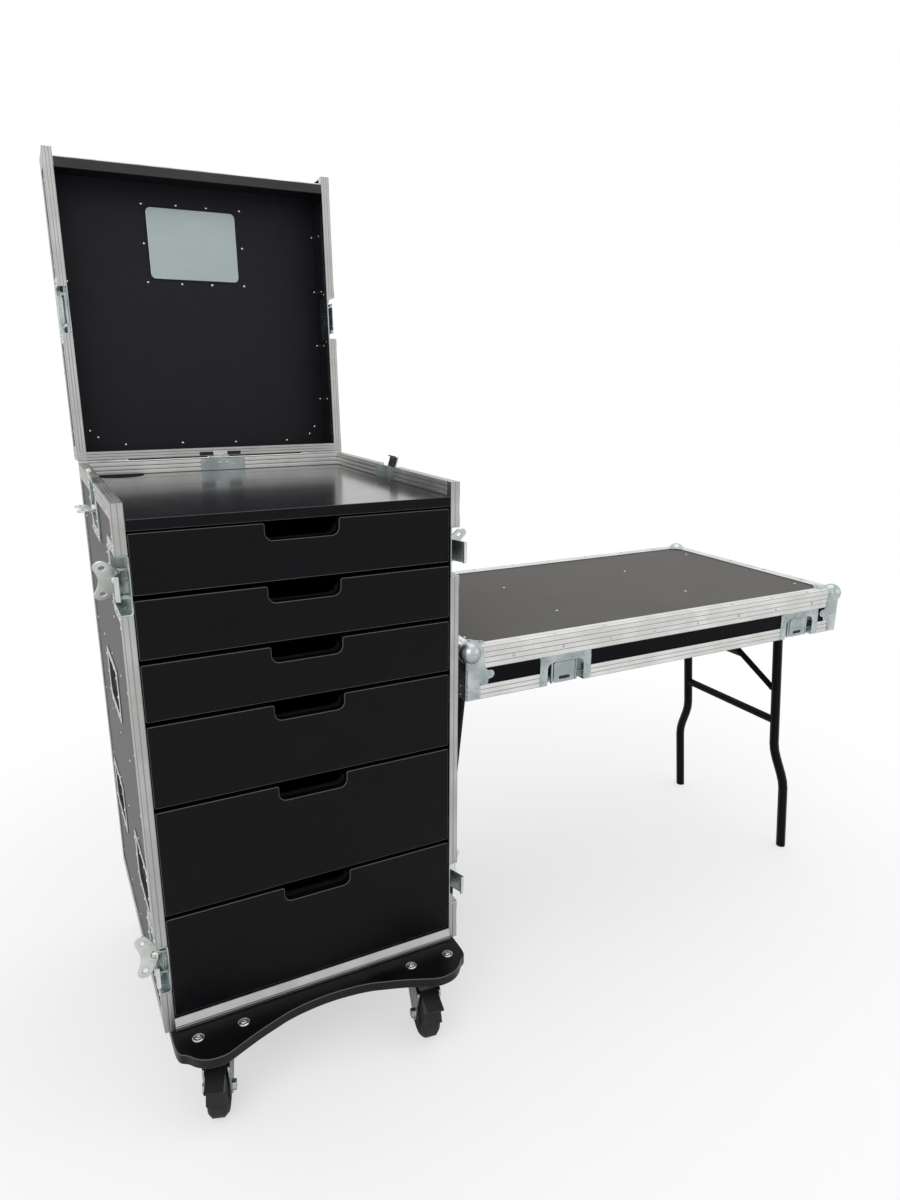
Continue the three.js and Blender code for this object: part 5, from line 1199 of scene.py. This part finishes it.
# %% [markdown]
# ## Dolly board
# The board under the case is wider than it in front. Its front edge runs in a long hollow between two
# lobes over the casters, with a small step at each end. A router has rounded its rims, which carry a painted
# highlight. The line is drawn with few points and softened twice by cutting every corner at a quarter and
# three quarters of its sides.

# %% Dolly board with its caster plates
UNDERSIDE = 140 * MM
BOARD_HALF = 292
PLATE_LEVEL, BEARING_LEVEL = 138.5, 137
half_wide, half_deep = 52.5, 42.5
caster_places = ((-207, -8), (207, -8), (-184, 560), (184, 560))
front_half = np.array([
    (0, -41), (45, -44), (83, -50.5), (111, -60), (146, -72), (185, -89), (208, -99.5), (228, -100.5),
    (248, -96), (264, -84), (274, -70.5), (287, -63), (291.5, -46), (BOARD_HALF, -8)], float)
front_line = np.concatenate([front_half[::-1] * (-1, 1), front_half[1:]])
for _ in range(2):
    near, far = front_line[:-1], front_line[1:]
    cut = np.stack([near * 0.75 + far * 0.25, near * 0.25 + far * 0.75], 1).reshape(-1, 2)
    front_line = np.concatenate([front_line[:1], cut, front_line[-1:]])
board_high = np.array(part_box("dolly_board")[1])
back_line = (board_high[1] - FRONT) / MM
outline = np.concatenate([front_line, [(BOARD_HALF, back_line), (-BOARD_HALF, back_line)]]) * MM
thick = board_high[2] - UNDERSIDE
routed = rim_highlight_plate(outline, thick, 1.5 * MM, at(0, 0, 0) + (0, 0, UNDERSIDE + thick / 2), X, Y)
board = piece("dolly_board_routed", *routed, board_paint, "case", "black_board")
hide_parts("dolly_board")
for x, y in caster_places:
    outline = rounded(x - half_wide, x + half_wide, y - half_deep, y + half_deep, 6)
    case_hardware += [plate([outline * MM], 3 * MM, 0.8 * MM, at(0, 0, PLATE_LEVEL), X, Y),
                      lathe([(24, 0), (24, -4), (21, -5)], at(x, y, BEARING_LEVEL), Z, 32)]
print("points in the front line:", len(front_line))

# %% [markdown]
# ## The collected hardware
# All stamped sheets of one body become one piece, and all of its rivet heads another, because they share
# a finish and never move against each other. The rivets of the cover are duller than the others.

# %% The stamped parts and the rivets as pieces
piece("case_hardware", *gather(case_hardware), zinc, "case", "zinc_steel")
piece("case_rivets", *gather(case_rivets), steel, "case", "zinc_steel", smooth=True)
lid_piece("lid_hardware", lid_hardware, zinc, "zinc_steel")
lid_piece("lid_rivets", lid_rivets, steel, "zinc_steel", smooth=True)
piece("cover_hardware", *gather(cover_hardware), zinc, "cover", "zinc_steel")
piece("cover_rivets", *gather(cover_rivets), zinc, "cover", "zinc_steel", smooth=True)
print("hardware pieces:", 6)

# %% [markdown]
# ## Last details
# Four bolts hold the front casters through the dolly board, each with a recess for the key. The front
# rim of the worktop is routed like the drawer fronts, with the same painted highlight on its rounded rim.

# %% Bolts of the dolly board and the rim of the worktop
BOLT_LEVEL = 159.7
bolt_places = ((-249, -38), (-166, -38), (175, -41), (257, -43))
bolt = [(11, -0.3), (11, 1.0), (9, 2.2), (6, 2.8), (5.2, 3.8), (3.6, 4.0), (3.2, 1.4), (0.6, 1.4)]
bolts = [lathe(bolt, at(x, y, BOLT_LEVEL), Z, 20) for x, y in bolt_places]
piece("dolly_bolts", *gather(bolts), steel, "case", "zinc_steel")
band_place = at(0, 1.9, 1089)
band = rim_highlight_plate(rounded(-281.6, 281.6, 0, 18.2, 1) * MM, 1.6 * MM, 0.7 * MM, band_place, X, Z)
piece("worktop_front_band", *band, front_board, "case", "worktop")
print("bolts:", len(bolts))
